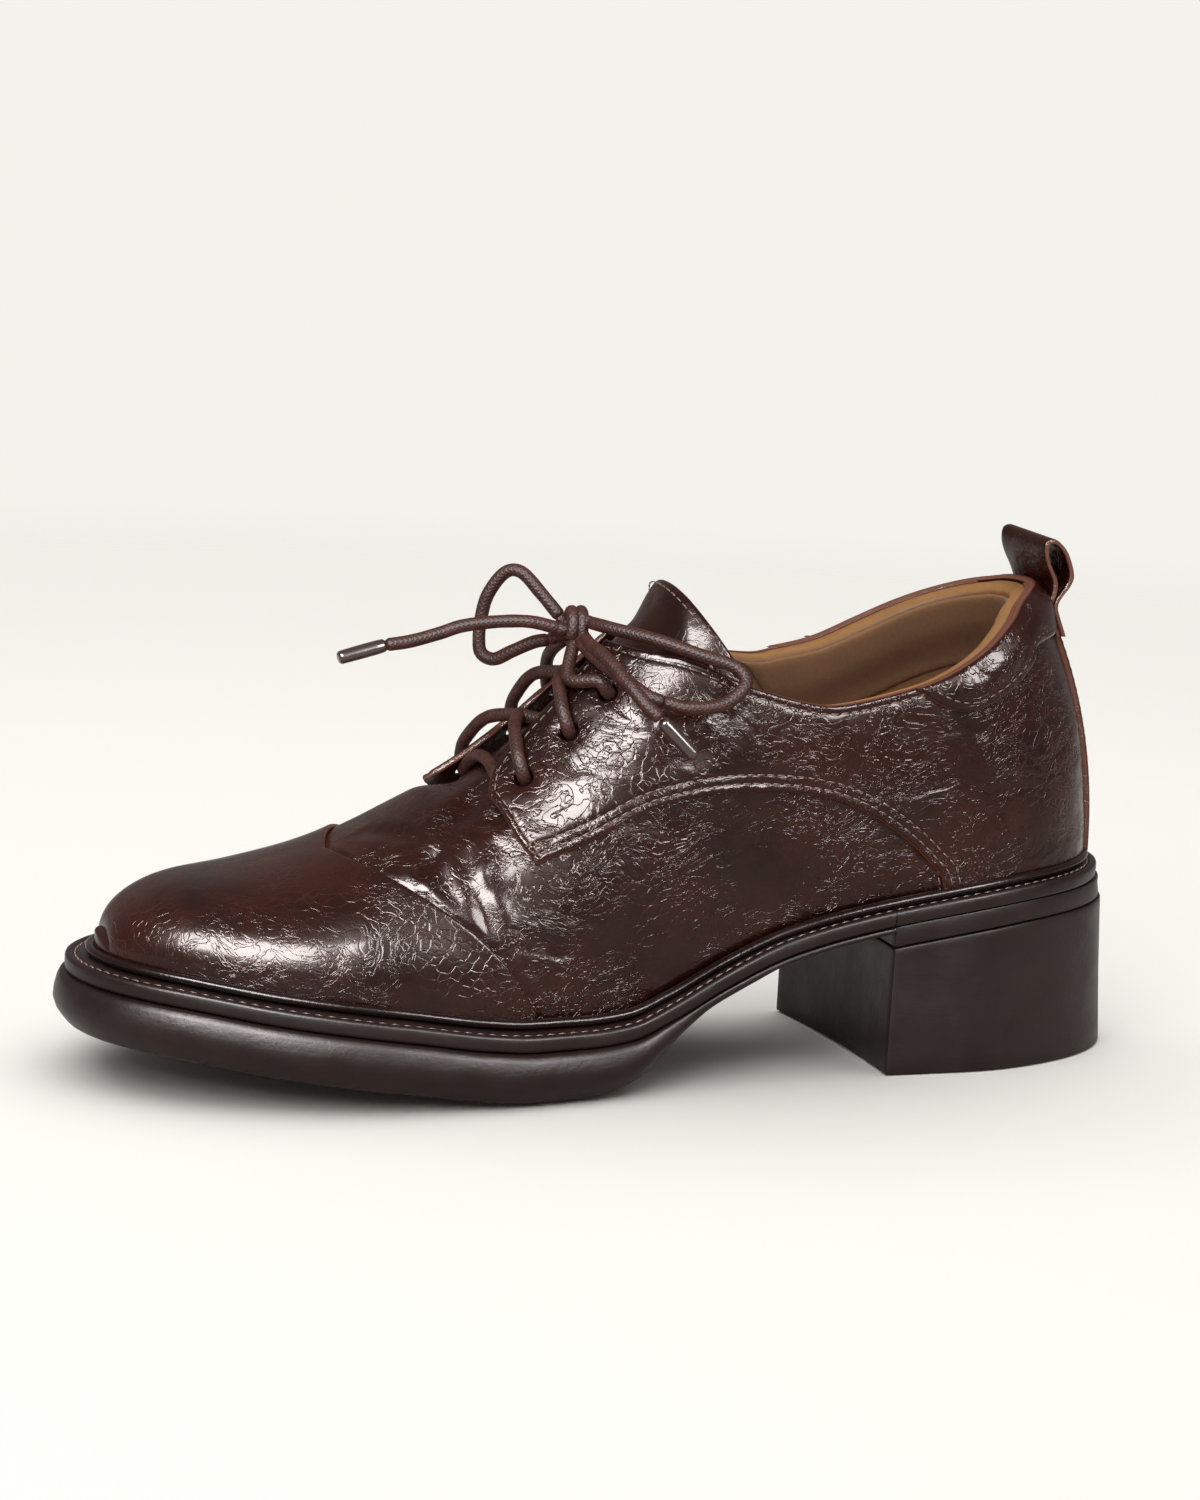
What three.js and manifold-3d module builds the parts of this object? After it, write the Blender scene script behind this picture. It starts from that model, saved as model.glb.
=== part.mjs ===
// Heeled lace-up derby shoe, the left one of a pair, standing empty on its heel and forefoot.
// Millimetres, +Z up, the toe towards -X and the outer side towards -Y.
// The origin is on the floor, at the middle of the heel.

import * as THREE from "three";
import { mergeVertices } from "three/addons/utils/BufferGeometryUtils.js";
import Module from "manifold-3d";

const wasm = await Module();
wasm.setup();

// Driving sizes of the last and the sole

const LENGTH = 260;
const BALL_WIDTH = 91;
const INSTEP = 100;
const HEEL_SEAT = 46;
const TOE_SPRING = 11.5;
const TOE_ROUND = 66;
const HEEL_ROUND = 46;
const TOE_SWING = 3;
const HEEL_LENGTH = 66;
const BREAST_SKEW = 4.5;
const BREAST_HOLLOW = 1.5;
const HEEL_RAKE = 6.5;

// Thicknesses and clearances

const GAP = 0.35;
const MIDSOLE = 3.7;
const TREAD = 12.5;
const WAIST = 1.4;
const LIFT = 5;
const INSOLE = 3;
const WALL = 2;
const COLLAR_PAD = 2.6;
const LEATHER = 1.4;
const CAP_LEATHER = 0.9;
const TONGUE = 2;
const RAND_WIDTH = 2.6;
const RAND_HEIGHT = 2.6;
const TREAD_BULGE = 2.6;
const WALL_SWELL = 0.3;
const LACE = 3.2;
const EYELET_HOLE = 5.2;
const STRIP_WIDTH = 13;
const LOOP_WIDTH = 19;
const LOOP_HEIGHT = 25;
const LOOP_DEPTH = 7;
const STRAP = 1.4;
const AGLET = 3.8;

// Places worked out from the driving sizes

const BALL_SEAT = TREAD + GAP + MIDSOLE;
const HEEL_CENTRE = HEEL_LENGTH / 2;
const HALF_WIDTH = BALL_WIDTH / 2;
const LACE_ROOM = LACE + 2 * GAP;
const TIP_LENGTH = 20;
const TIP_END = 9.5;
const TIP_LOW = 0.3;
const BELLY_FADE = 15;
const BACK_LEAN = 21;
const LEAN_START = 48;
const LEAN_REACH = 68;
const LEAN_LENGTH = 110;
const LEAN_POWER = 2.2;
const PAD_DEPTH = 20;
const PAD_FADE = 12;
const PAD_FRONT = 0.42 * LENGTH;
const THROAT_FRONT = 0.64 * LENGTH;
const THROAT_BACK = 0.36 * LENGTH;
const THROAT_OUTER = 0.484 * HALF_WIDTH;
const THROAT_INNER = 0.527 * HALF_WIDTH;
const THROAT_CORNER = 0.12 * HALF_WIDTH;
const THROAT_FLOOR = 0.45 * INSTEP;
const TONGUE_HALF = 0.594 * HALF_WIDTH;
const TONGUE_MIDDLE = 0.02 * HALF_WIDTH;
const LIFT_INSET = 0.6;
const COLLAR_FACE = 2 * GAP + 2 * LEATHER;
const PANEL_FOOT = RAND_HEIGHT + 2 * GAP;

// Grid of the lofts: stations along each side, and levels up the wall

const STATIONS = 24;
const WAIST_CROWDING = 0.45;
const LEVELS = [0, 0.08, 0.18, 0.3, 0.43, 0.56, 0.68, 0.79, 0.88, 0.95, 1];

// Tables: named columns, lengths as shares of the sizes above

function table(header, rows) {
  const names = header.split(" ");
  return rows.map((row) => Object.fromEntries(names.map((name, i) => [name, row[i]])));
}

// Half widths of the midsole, as shares of half the ball width
const PLAN = table("along outer inner", [
  [0, 0.72, 0.73],
  [0.11, 0.705, 0.735],
  [0.23, 0.705, 0.7],
  [0.354, 0.72, 0.645],
  [0.448, 0.8, 0.655],
  [0.56, 0.93, 0.79],
  [0.653, 0.995, 0.92],
  [0.728, 1, 0.985],
  [0.8, 0.975, 1],
  [0.9, 0.94, 0.97],
  [1, 0.93, 0.93],
]);

// Midsole's top: climb from the ball to the heel seat, and share of the toe spring
const SEAT = table("along climb spring", [
  [0, 1.07, 0],
  [0.108, 1.015, 0],
  [0.219, 0.881, 0],
  [0.297, 0.756, 0],
  [0.356, 0.62, 0],
  [0.422, 0.39, 0],
  [0.478, 0.153, 0],
  [0.519, 0.027, 0],
  [0.56, 0, 0],
  [0.61, 0, 0],
  [0.655, 0, 0.075],
  [0.73, 0, 0.318],
  [0.84, 0, 0.618],
  [0.925, 0, 0.851],
  [1, 0, 0.947],
]);

// Outsole's thickness, from the waist's to the tread's
const SOLE = table("along thick", [
  [0.26, 0],
  [0.36, 0],
  [0.395, 0.05],
  [0.437, 0.07],
  [0.466, 0.24],
  [0.489, 0.53],
  [0.507, 0.77],
  [0.545, 0.95],
  [0.578, 1],
  [1, 1],
]);

// Midsole's ledge outside the upper, as a share of half the ball width
const LEDGE = table("along width", [
  [0, 0.122],
  [0.25, 0.105],
  [0.45, 0.143],
  [0.7, 0.19],
  [1, 0.171],
]);

// Sections of the last: crown is its height over the seat as a share of the instep, full the
// squareness of the section, belly and ridge shares of half the ball width
const UPPER = table("along crown full belly ridge", [
  [0, 0.88, 2.2, -0.015, 0],
  [0.093, 0.96, 2.2, 0.01, 0],
  [0.217, 1.041, 2.2, 0.033, 0],
  [0.31, 1.052, 2.3, 0.033, 0],
  [0.364, 1.009, 2.35, 0.033, 0],
  [0.407, 0.973, 2.4, 0.033, 0],
  [0.449, 0.94, 2.35, 0.033, 0],
  [0.48, 0.908, 2.3, 0.033, 0],
  [0.507, 0.866, 2.2, 0.033, 0],
  [0.538, 0.799, 2.1, 0.033, 0.011],
  [0.573, 0.709, 2, 0.033, 0.022],
  [0.611, 0.615, 1.95, 0.033, 0.033],
  [0.642, 0.545, 1.95, 0.033, 0.044],
  [0.681, 0.465, 2, 0.033, 0.066],
  [0.722, 0.386, 2.1, 0.033, 0.077],
  [0.769, 0.306, 2.2, 0.033, 0.088],
  [0.815, 0.252, 2.3, 0.033, 0.088],
  [0.869, 0.206, 2.4, 0.026, 0.077],
  [0.911, 0.181, 2.45, 0.022, 0.066],
  [0.949, 0.17, 2.5, 0.022, 0.066],
  [1, 0.17, 2.5, 0.022, 0.066],
]);

// Lines seen from the side: share of the length, and height over the seat as a share of the
// instep. They run from the front to the back.
const TOPLINE = {
  outer: table("along up", [
    [0.522, 0.852],
    [0.492, 0.819],
    [0.451, 0.754],
    [0.406, 0.651],
    [0.344, 0.551],
    [0.309, 0.527],
    [0.257, 0.528],
    [0.217, 0.544],
    [0.176, 0.587],
    [0.145, 0.642],
    [0.125, 0.684],
    [0.08, 0.702],
    [-0.061, 0.702],
  ]),
  inner: table("along up", [
    [0.522, 0.852],
    [0.491, 0.828],
    [0.451, 0.765],
    [0.406, 0.68],
    [0.337, 0.592],
    [0.306, 0.581],
    [0.263, 0.581],
    [0.218, 0.61],
    [0.152, 0.66],
    [0.111, 0.69],
    [0.08, 0.702],
    [-0.061, 0.702],
  ]),
};
const QUARTER_SEAM = table("along up", [
  [0.604, 0.372],
  [0.55, 0.432],
  [0.496, 0.477],
  [0.434, 0.434],
  [0.376, 0.371],
  [0.325, 0.313],
  [0.289, 0.258],
  [0.261, 0.203],
  [0.235, 0.141],
  [0.215, 0.084],
  [0.204, 0.049],
  [0.197, -0.05],
]);
const FLAP_FRONT = {
  outer: table("along up", [
    [0.604, 0.372],
    [0.618, 0.423],
    [0.627, 0.473],
    [0.635, 0.509],
    [0.638, 0.56],
  ]),
  inner: table("along up", [
    [0.604, 0.372],
    [0.629, 0.42],
    [0.652, 0.455],
    [0.669, 0.49],
    [0.673, 0.55],
  ]),
};
const COLLAR_SEAM = table("along up", [
  [0.25, 0.55],
  [0.23, 0.5],
  [0.203, 0.46],
  [0.178, 0.453],
  [0.145, 0.485],
  [0.118, 0.539],
  [0.102, 0.574],
  [-0.061, 0.581],
]);
const TONGUE_TOP = table("along up", [
  [0.526, 1.3],
  [0.459, 0.945],
  [0.418, 0.731],
  [0.372, 0.5],
]);

// Cap seam: share of the length, share of half the ball width, height as above
const CAP_SEAM = table("along across up", [
  [0.775, 0, 0.352],
  [0.758, 0.297, 0.344],
  [0.731, 0.534, 0.315],
  [0.694, 0.675, 0.268],
  [0.66, 0.747, 0.213],
  [0.628, 0.782, 0.132],
  [0.605, 0.78, 0.035],
]);

// Edges of the two flaps seen from above: share of the length, share of half the ball width
const EYESTAY = {
  outer: table("along across", [
    [0.691, -0.6],
    [0.64, -0.363],
    [0.63, -0.27],
    [0.619, -0.202],
    [0.593, -0.163],
    [0.565, -0.149],
    [0.53, -0.123],
    [0.434, -0.06],
  ]),
  inner: table("along across", [
    [0.434, 0.29],
    [0.54, 0.31],
    [0.598, 0.31],
    [0.64, 0.32],
    [0.66, 0.36],
    [0.676, 0.5],
    [0.702, 0.75],
  ]),
};

// Eyelets: turn round the last and rise up its wall
const EYELETS = {
  outer: table("turn rise", [
    [0.563, 0.675],
    [0.536, 0.696],
    [0.513, 0.704],
  ]),
  inner: table("turn rise", [
    [1.428, 0.64],
    [1.457, 0.65],
    [1.482, 0.66],
  ]),
};

// Small maths

const clamp = (x, low, high) => Math.min(Math.max(x, low), high);
const square = (x) => x * x;

function smooth(x) {
  const t = clamp(x, 0, 1);
  return t * t * (3 - 2 * t);
}

// A monotone cubic through one column of a table
function curveOf(rows, column) {
  const x = rows.map((row) => row.along);
  const y = rows.map((row) => row[column]);
  const last = x.length - 1;
  const slope = x.map((_, i) => (i < last ? (y[i + 1] - y[i]) / (x[i + 1] - x[i]) : 0));
  const tangent = x.map((_, i) => {
    if (i === 0) return slope[0];
    if (i === last) return slope[last - 1];
    const [before, after] = [slope[i - 1], slope[i]];
    return before * after > 0 ? (2 * before * after) / (before + after) : 0;
  });
  return (s) => {
    const at = clamp(s, x[0], x[last]);
    const found = x.findIndex((value) => value >= at);
    const i = Math.max(found - 1, 0);
    const h = x[i + 1] - x[i];
    const t = (at - x[i]) / h;
    const rest = 1 - t;
    return (
      y[i] * (1 + 2 * t) * rest * rest +
      y[i + 1] * (3 - 2 * t) * t * t +
      h * (tangent[i] * t * rest * rest - tangent[i + 1] * t * t * rest)
    );
  };
}

const outerHalf = curveOf(PLAN, "outer");
const innerHalf = curveOf(PLAN, "inner");
const climb = curveOf(SEAT, "climb");
const spring = curveOf(SEAT, "spring");
const soleThick = curveOf(SOLE, "thick");
const ledge = curveOf(LEDGE, "width");
const crown = curveOf(UPPER, "crown");
const full = curveOf(UPPER, "full");
const belly = curveOf(UPPER, "belly");
const ridge = curveOf(UPPER, "ridge");

// The last. Turn goes round it: 0 at the back, 1 at the toe's tip by the outer side, and on
// to 2 by the inner side. Points are [along, across, height].

function seatHeight(along) {
  const s = along / LENGTH;
  return BALL_SEAT + (HEEL_SEAT - BALL_SEAT) * climb(s) + TOE_SPRING * spring(s);
}

function roundEnds(along) {
  const back = clamp(along, 0, HEEL_ROUND);
  const front = clamp(LENGTH - along, 0, TOE_ROUND);
  const heel = 1 - square((HEEL_ROUND - back) / HEEL_ROUND);
  const toe = 1 - square((TOE_ROUND - front) / TOE_ROUND);
  return Math.sqrt(heel * toe);
}

function outline(turn) {
  const round = ((turn % 2) + 2) % 2;
  const way = round <= 1 ? round : 2 - round;
  const side = round <= 1 ? -1 : 1;
  const along = (LENGTH * (1 - Math.cos(Math.PI * way))) / 2;
  const s = along / LENGTH;
  const half = (side < 0 ? outerHalf(s) : innerHalf(s)) * HALF_WIDTH * roundEnds(along);
  return [along, TOE_SWING * s * s + side * half];
}

// The outline moved outwards by a distance
function edge(turn, out) {
  const step = 1e-3;
  const [a0, b0] = outline(turn - step);
  const [a1, b1] = outline(turn + step);
  const [a, b] = outline(turn);
  const run = Math.hypot(a1 - a0, b1 - b0);
  return [a + (out * (b1 - b0)) / run, b - (out * (a1 - a0)) / run];
}

function feather(turn) {
  const [along] = outline(turn);
  return edge(turn, -ledge(along / LENGTH) * HALF_WIDTH);
}

function lastPoint(turn, rise) {
  const [fa, fb] = feather(turn);
  const [ga] = feather(2 - turn);
  const ridgeAlong = (fa + ga) / 2;
  const s = ridgeAlong / LENGTH;
  const ridgeAcross = TOE_SWING * s * s + ridge(s) * HALF_WIDTH;
  const angle = (rise * Math.PI) / 2;
  const power = 2 / full(s);
  const near = Math.pow(Math.max(Math.cos(angle), 0), power);
  const high = Math.pow(Math.sin(angle), power);
  const toTip = clamp(LENGTH - TIP_END - ridgeAlong, 0, TIP_LENGTH);
  const tip = TIP_LOW + (1 - TIP_LOW) * Math.sqrt(1 - square((TIP_LENGTH - toTip) / TIP_LENGTH));
  const up = seatHeight(outline(turn)[0]) + INSTEP * crown(s) * tip * high;
  const [ua, ub] = [fa - ridgeAlong, fb - ridgeAcross];
  const reach = Math.hypot(ua, ub) + 1e-9;
  const swell = belly(s) * HALF_WIDTH * Math.sin(2 * angle) * clamp(reach / BELLY_FADE, 0, 1);
  const above = clamp((up - LEAN_START) / LEAN_REACH, 0, 1.5);
  const behind = square(clamp(1 - ridgeAlong / LEAN_LENGTH, 0, 1));
  const lean = BACK_LEAN * Math.pow(above, LEAN_POWER) * behind;
  const share = near + swell / reach;
  return [ridgeAlong + ua * share + lean, ridgeAcross + ub * share, up];
}

// A point of the last moved out along its normal, by a number or by a function of the point
function surface(turn, rise, out) {
  const step = 1e-3;
  const here = lastPoint(turn, rise);
  const away = typeof out === "function" ? out(...here) : out;
  const across = new THREE.Vector3(...lastPoint(turn + step, rise));
  across.sub(new THREE.Vector3(...lastPoint(turn - step, rise)));
  const along = new THREE.Vector3(...lastPoint(turn, Math.min(rise + step, 1)));
  along.sub(new THREE.Vector3(...lastPoint(turn, Math.max(rise - step, 0))));
  const normal = across.cross(along).normalize();
  return [here[0] + normal.x * away, here[1] + normal.y * away, here[2] + normal.z * away];
}

// Where the vamp and tongue lie lower between the flaps, and over what share it fades out
const SUNK = {
  up: [0.38 * INSTEP, 0.1 * INSTEP],
  half: [0.56 * HALF_WIDTH, 0.12 * HALF_WIDTH],
  middle: 0.055 * HALF_WIDTH,
  front: [0.68 * LENGTH, 0.035 * LENGTH],
  back: [0.45 * LENGTH, 0.04 * LENGTH],
};

// How far they lie lower: by the room that the lace takes
function sink(along, across, up) {
  const fade = (inside, [, over]) => smooth(inside / over);
  const high = fade(up - seatHeight(along) - SUNK.up[0], SUNK.up);
  const between = fade(SUNK.half[0] - Math.abs(across - SUNK.middle), SUNK.half);
  const front = fade(SUNK.front[0] - along, SUNK.front);
  const back = fade(along - SUNK.back[0], SUNK.back);
  return LACE_ROOM * high * between * front * back;
}

const vampFace = (along, across, up) => -sink(along, across, up);

// The wall grows thicker inside the collar, behind the ankle
function liningFace(along, across, up) {
  const line = curveUp(across < 0 ? TOPLINE.outer : TOPLINE.inner, along);
  const nearTop = smooth((up - line + PAD_DEPTH) / PAD_FADE);
  const atBack = smooth((PAD_FRONT - along) / (2 * PAD_FADE));
  return -WALL - COLLAR_PAD * nearTop * atBack - sink(along, across, up);
}

// Solids

function place(along, across, up) {
  return [HEEL_CENTRE - along, across, up];
}

function solidOf(positions, faces) {
  const geometry = new THREE.BufferGeometry();
  geometry.setAttribute("position", new THREE.Float32BufferAttribute(positions.flat(), 3));
  geometry.setIndex(faces.flat());
  return solidOfGeometry(geometry);
}

function solidOfGeometry(geometry) {
  geometry.deleteAttribute("normal");
  geometry.deleteAttribute("uv");
  const merged = mergeVertices(geometry, 1e-4);
  const index = Array.from(merged.index.array);
  const vertices = merged.attributes.position.array;
  const corners = [];
  for (let i = 0; i < index.length; i += 3) {
    const [a, b, c] = index.slice(i, i + 3);
    if (a !== b && b !== c && c !== a) corners.push([a, b, c]);
  }
  const made = (triangles) =>
    new wasm.Manifold(
      new wasm.Mesh({
        numProp: 3,
        vertProperties: vertices,
        triVerts: new Uint32Array(triangles.flat()),
      }),
    );
  const solid = made(corners);
  return solid.volume() < 0 ? made(corners.map(([a, b, c]) => [a, c, b])) : solid;
}

// A closed solid through rings that go round the last, with a lid at each end
function stack(rings) {
  const count = rings[0].length;
  const faces = [];
  const quad = (a, b, c, d) => faces.push([a, b, c], [a, c, d]);
  rings.slice(1).forEach((_, k) => {
    for (let i = 0; i < count; i += 1) {
      const j = (i + 1) % count;
      quad(k * count + i, k * count + j, (k + 1) * count + j, (k + 1) * count + i);
    }
  });
  const lid = (start, flip) => {
    for (let i = 0; i < count / 2; i += 1) {
      const ends = [i, i + 1, (count - i - 1) % count, (count - i) % count];
      const corners = ends.map((end) => start + end);
      quad(...(flip ? corners.reverse() : corners));
    }
  };
  lid(0, true);
  lid((rings.length - 1) * count, false);
  return solidOf(rings.flat(), faces);
}

// A closed ring of rings, such as a bead that runs round the sole
function hoop(rings) {
  const count = rings[0].length;
  const faces = [];
  rings.forEach((_, k) => {
    const next = (k + 1) % rings.length;
    for (let i = 0; i < count; i += 1) {
      const j = (i + 1) % count;
      const [a, b] = [k * count + i, k * count + j];
      const [c, d] = [next * count + j, next * count + i];
      faces.push([a, b, c], [a, c, d]);
    }
  });
  return solidOf(rings.flat(), faces);
}

// Stations lie closer together at the waist, where the seat bends most
function turns() {
  return Array.from({ length: 2 * STATIONS }, (_, i) => {
    const even = i / STATIONS;
    return even + (WAIST_CROWDING * Math.sin(2 * Math.PI * even)) / (2 * Math.PI);
  });
}

const DEEP = 60;

// The last's form grown by a distance, carried on downwards so that cutters can end it
function form(out) {
  const rings = LEVELS.map((rise) => turns().map((turn) => surface(turn, rise, out)));
  const top = rings[rings.length - 1];
  const closed = top.map((point, i) => {
    const twin = top[(top.length - i) % top.length];
    return point.map((value, axis) => (value + twin[axis]) / 2);
  });
  rings[rings.length - 1] = closed;
  const below = rings[0].map(([along, across, up]) => [along, across, up - DEEP / 4]);
  return stack([below, ...rings].map((ring) => ring.map((point) => place(...point))));
}

// A ring of the sole, grown by a distance, at a height worked out from its place
function soleRing(grow, height) {
  return turns().map((turn) => {
    const [along] = outline(turn);
    const [a, b] = edge(turn, grow(along));
    return place(a, b, height(a));
  });
}

const same = (value) => () => value;

function plate(bottom, top, grow = 0) {
  return stack([soleRing(same(grow), bottom), soleRing(same(grow), top)]);
}

// Everything under a height over the seat
function bed(over) {
  return plate(same(-DEEP), (a) => seatHeight(a) + over, 2 * RAND_WIDTH + TREAD_BULGE);
}

// A polygon carried along a third direction
function prism(points, put) {
  const shape = new THREE.Shape(points.map(([x, y]) => new THREE.Vector2(x, y)));
  const geometry = new THREE.ExtrudeGeometry(shape, { depth: 1, bevelEnabled: false, steps: 1 });
  const position = geometry.getAttribute("position");
  for (let i = 0; i < position.count; i += 1) {
    const point = put(position.getX(i), position.getY(i), position.getZ(i));
    position.setXYZ(i, ...point);
  }
  return solidOfGeometry(geometry);
}

// Lines and cutters seen from the side

function sidePoints(rows) {
  return rows.map(({ along, up }) => [along * LENGTH, seatHeight(along * LENGTH) + up * INSTEP]);
}

function rounded(points, count) {
  const curve = new THREE.SplineCurve(points.map(([x, y]) => new THREE.Vector2(x, y)));
  return curve.getPoints(count).map(({ x, y }) => [x, y]);
}

function curveUp(rows, along) {
  const s = along / LENGTH;
  const after = rows.findIndex((row) => row.along <= s);
  if (after < 1) return seatHeight(along) + rows.at(after).up * INSTEP;
  const [front, back] = [rows[after - 1], rows[after]];
  const share = (front.along - s) / (front.along - back.along);
  return seatHeight(along) + (front.up + (back.up - front.up) * share) * INSTEP;
}

const SKY = 2 * INSTEP;
const FAR = 2 * BALL_WIDTH;
const SIDES = { outer: -1, inner: 1 };

function sideCut(points, side) {
  return prism(points, (x, y, z) => place(x, SIDES[side] * FAR * z, y));
}

function planCut(points) {
  return prism(points, (x, y, z) => place(x, y, SKY * z));
}

// Everything over the topline, raised by a clearance
function overTopline(side, clear) {
  const line = rounded(sidePoints(TOPLINE[side]), 36).map(([a, z]) => [a, z + clear]);
  const front = line[0];
  const back = line[line.length - 1];
  return sideCut([...line, [back[0], SKY], [front[0], SKY]], side);
}

// The throat's slot in the vamp, narrowed by a clearance
function throat(clear) {
  const front = THROAT_FRONT - clear;
  const [low, high] = [clear - THROAT_OUTER, THROAT_INNER - clear];
  const slot = planCut([
    [THROAT_BACK, low],
    [front - THROAT_CORNER, low],
    [front, low + THROAT_CORNER],
    [front, high - THROAT_CORNER],
    [front - THROAT_CORNER, high],
    [THROAT_BACK, high],
  ]);
  return slot.subtract(bed(THROAT_FLOOR));
}

// Sub-parts of the upper

function makeUpper() {
  const shell = form(vampFace).subtract(form(liningFace));
  const open = shell.subtract(bed(GAP)).subtract(throat(0));
  return open.subtract(overTopline("outer", 0)).subtract(overTopline("inner", 0));
}

function makeTongue() {
  const shell = form(vampFace).subtract(form((a, b, z) => -TONGUE - sink(a, b, z)));
  const front = THROAT_FRONT - GAP;
  const wide = planCut([
    [THROAT_BACK, TONGUE_MIDDLE - TONGUE_HALF],
    [front, TONGUE_MIDDLE - TONGUE_HALF],
    [front, TONGUE_MIDDLE + TONGUE_HALF],
    [THROAT_BACK, TONGUE_MIDDLE + TONGUE_HALF],
  ]);
  const clear = 3 * GAP;
  const room = throat(GAP).add(overTopline("outer", clear)).add(overTopline("inner", clear));
  const top = rounded(sidePoints(TONGUE_TOP), 8);
  const behind = [...top, [-LENGTH, top[top.length - 1][1]], [-LENGTH, SKY], [top[0][0], SKY]];
  const trimmed = shell.intersect(wide).intersect(room).subtract(bed(THROAT_FLOOR + GAP));
  return trimmed.subtract(sideCut(behind, "outer")).subtract(sideCut(behind, "inner"));
}

function eyeletHoles(side) {
  return EYELETS[side].map(({ turn, rise }) => {
    const low = new THREE.Vector3(...place(...surface(turn, rise, -LACE)));
    const high = new THREE.Vector3(...place(...surface(turn, rise, 2 * LACE)));
    const geometry = new THREE.CylinderGeometry(EYELET_HOLE / 2, EYELET_HOLE / 2, 3 * LACE, 10);
    const up = new THREE.Vector3(0, 1, 0);
    const turnTo = new THREE.Quaternion().setFromUnitVectors(up, high.clone().sub(low).normalize());
    geometry.applyQuaternion(turnTo);
    geometry.translate(...low.add(high).multiplyScalar(0.5).toArray());
    return solidOfGeometry(geometry);
  });
}

function makeQuarter(side) {
  const shell = form(GAP + LEATHER).subtract(form(GAP)).subtract(bed(PANEL_FOOT));
  const seam = rounded(sidePoints(QUARTER_SEAM), 24).reverse();
  const front = rounded(sidePoints(FLAP_FRONT[side]), 8).slice(1);
  const low = [[-LENGTH, 0], [seam[0][0], 0]];
  const high = [[front.at(-1)[0] + LACE, SKY], [-LENGTH, SKY]];
  const panel = sideCut([...low, ...seam, ...front, ...high], side);
  const rows = EYESTAY[side].map(({ along, across }) => [along * LENGTH, across * HALF_WIDTH]);
  const eyestay = rounded(rows, 18);
  const past = -SIDES[side] * FAR;
  const middle = planCut([...eyestay, [eyestay.at(-1)[0], past], [eyestay[0][0], past]]);
  const backGap = planCut([
    [-LENGTH, -GAP / 2],
    [LENGTH / 2, -GAP / 2],
    [LENGTH / 2, GAP / 2],
    [-LENGTH, GAP / 2],
  ]);
  const cut = shell.intersect(panel).subtract(overTopline(side, 0)).subtract(middle);
  return [backGap, ...eyeletHoles(side)].reduce((solid, hole) => solid.subtract(hole), cut);
}

// The cutter leans 45 degrees, so it crosses the cap's top and its sides equally well
function capCut(side) {
  const line = CAP_SEAM.map(({ along, across, up }) => {
    const a = along * LENGTH;
    return [a, seatHeight(a) + up * INSTEP - across * HALF_WIDTH];
  });
  const seam = rounded(line, 18);
  const low = [[seam.at(-1)[0], -SKY], [-LENGTH, -SKY]];
  const high = [[-LENGTH, SKY], [seam[0][0], SKY]];
  return prism([...seam, ...low, ...high], (x, y, z) => place(x, SIDES[side] * FAR * z, y + FAR * z));
}

function makeToeCap() {
  const shell = form(GAP + CAP_LEATHER).subtract(form(GAP)).subtract(bed(PANEL_FOOT));
  return shell.subtract(capCut("outer")).subtract(capCut("inner"));
}

function makeCollar() {
  const shell = form(COLLAR_FACE).subtract(form(2 * GAP + LEATHER));
  const seam = rounded(sidePoints(COLLAR_SEAM), 20);
  const low = [...seam, [-LENGTH, 0], [LENGTH, 0], [LENGTH, SKY], [seam[0][0], SKY]];
  const cut = shell.subtract(sideCut(low, "outer")).subtract(sideCut(low, "inner"));
  return cut.subtract(overTopline("outer", 0)).subtract(overTopline("inner", 0));
}

// Sub-parts of the sole

function featherRing(out, height) {
  return turns().map((turn) => {
    const [along] = outline(turn);
    const [a, b] = edge(turn, out - ledge(along / LENGTH) * HALF_WIDTH);
    return place(a, b, height(a));
  });
}

// The rand's section, as shares of its width and height
const RAND_SECTION = table("out up", [
  [0, 0],
  [1, 0],
  [1, 0.55],
  [0.6, 1],
  [0, 1],
]);

function makeRand() {
  const rings = RAND_SECTION.map(({ out, up }) =>
    featherRing(
      GAP + WALL_SWELL + out * RAND_WIDTH,
      (a) => seatHeight(a) + GAP + up * (RAND_HEIGHT - GAP),
    ),
  );
  return hoop(rings);
}

const midsoleBottom = (a) => seatHeight(a) - MIDSOLE;
const liftTop = (a) => midsoleBottom(a) - GAP;
const liftBottom = (a) => liftTop(a) - LIFT;

// The heel's front face: skewed and a little hollow, moved by a distance along the shoe
function breast(move) {
  const half = outerHalf(HEEL_LENGTH / LENGTH) * HALF_WIDTH;
  const shares = [-2, -1, -0.5, 0, 0.5, 1, 2];
  const face = shares.map((share) => {
    const skew = (BREAST_SKEW * (share + 1)) / 2;
    const hollow = BREAST_HOLLOW * Math.max(1 - share * share, 0);
    return [HEEL_LENGTH + skew - hollow + move, share * half];
  });
  return planCut([...face, [-LENGTH, 2 * half], [-LENGTH, -2 * half]]);
}

// The tread's side wall: share of its depth, and of its bulge
const TREAD_WALL = table("down out", [
  [1, -0.3],
  [0.8, 0.75],
  [0.5, 1],
  [0, 0.35],
]);

function makeOutsole() {
  const share = (a) => soleThick(a / LENGTH);
  const depth = (a) => WAIST + (TREAD - WAIST) * share(a);
  const rings = TREAD_WALL.map(({ down, out }) =>
    soleRing((a) => out * TREAD_BULGE * share(a), (a) => liftTop(a) - down * depth(a)),
  );
  return stack(rings).subtract(breast(GAP));
}

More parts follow.
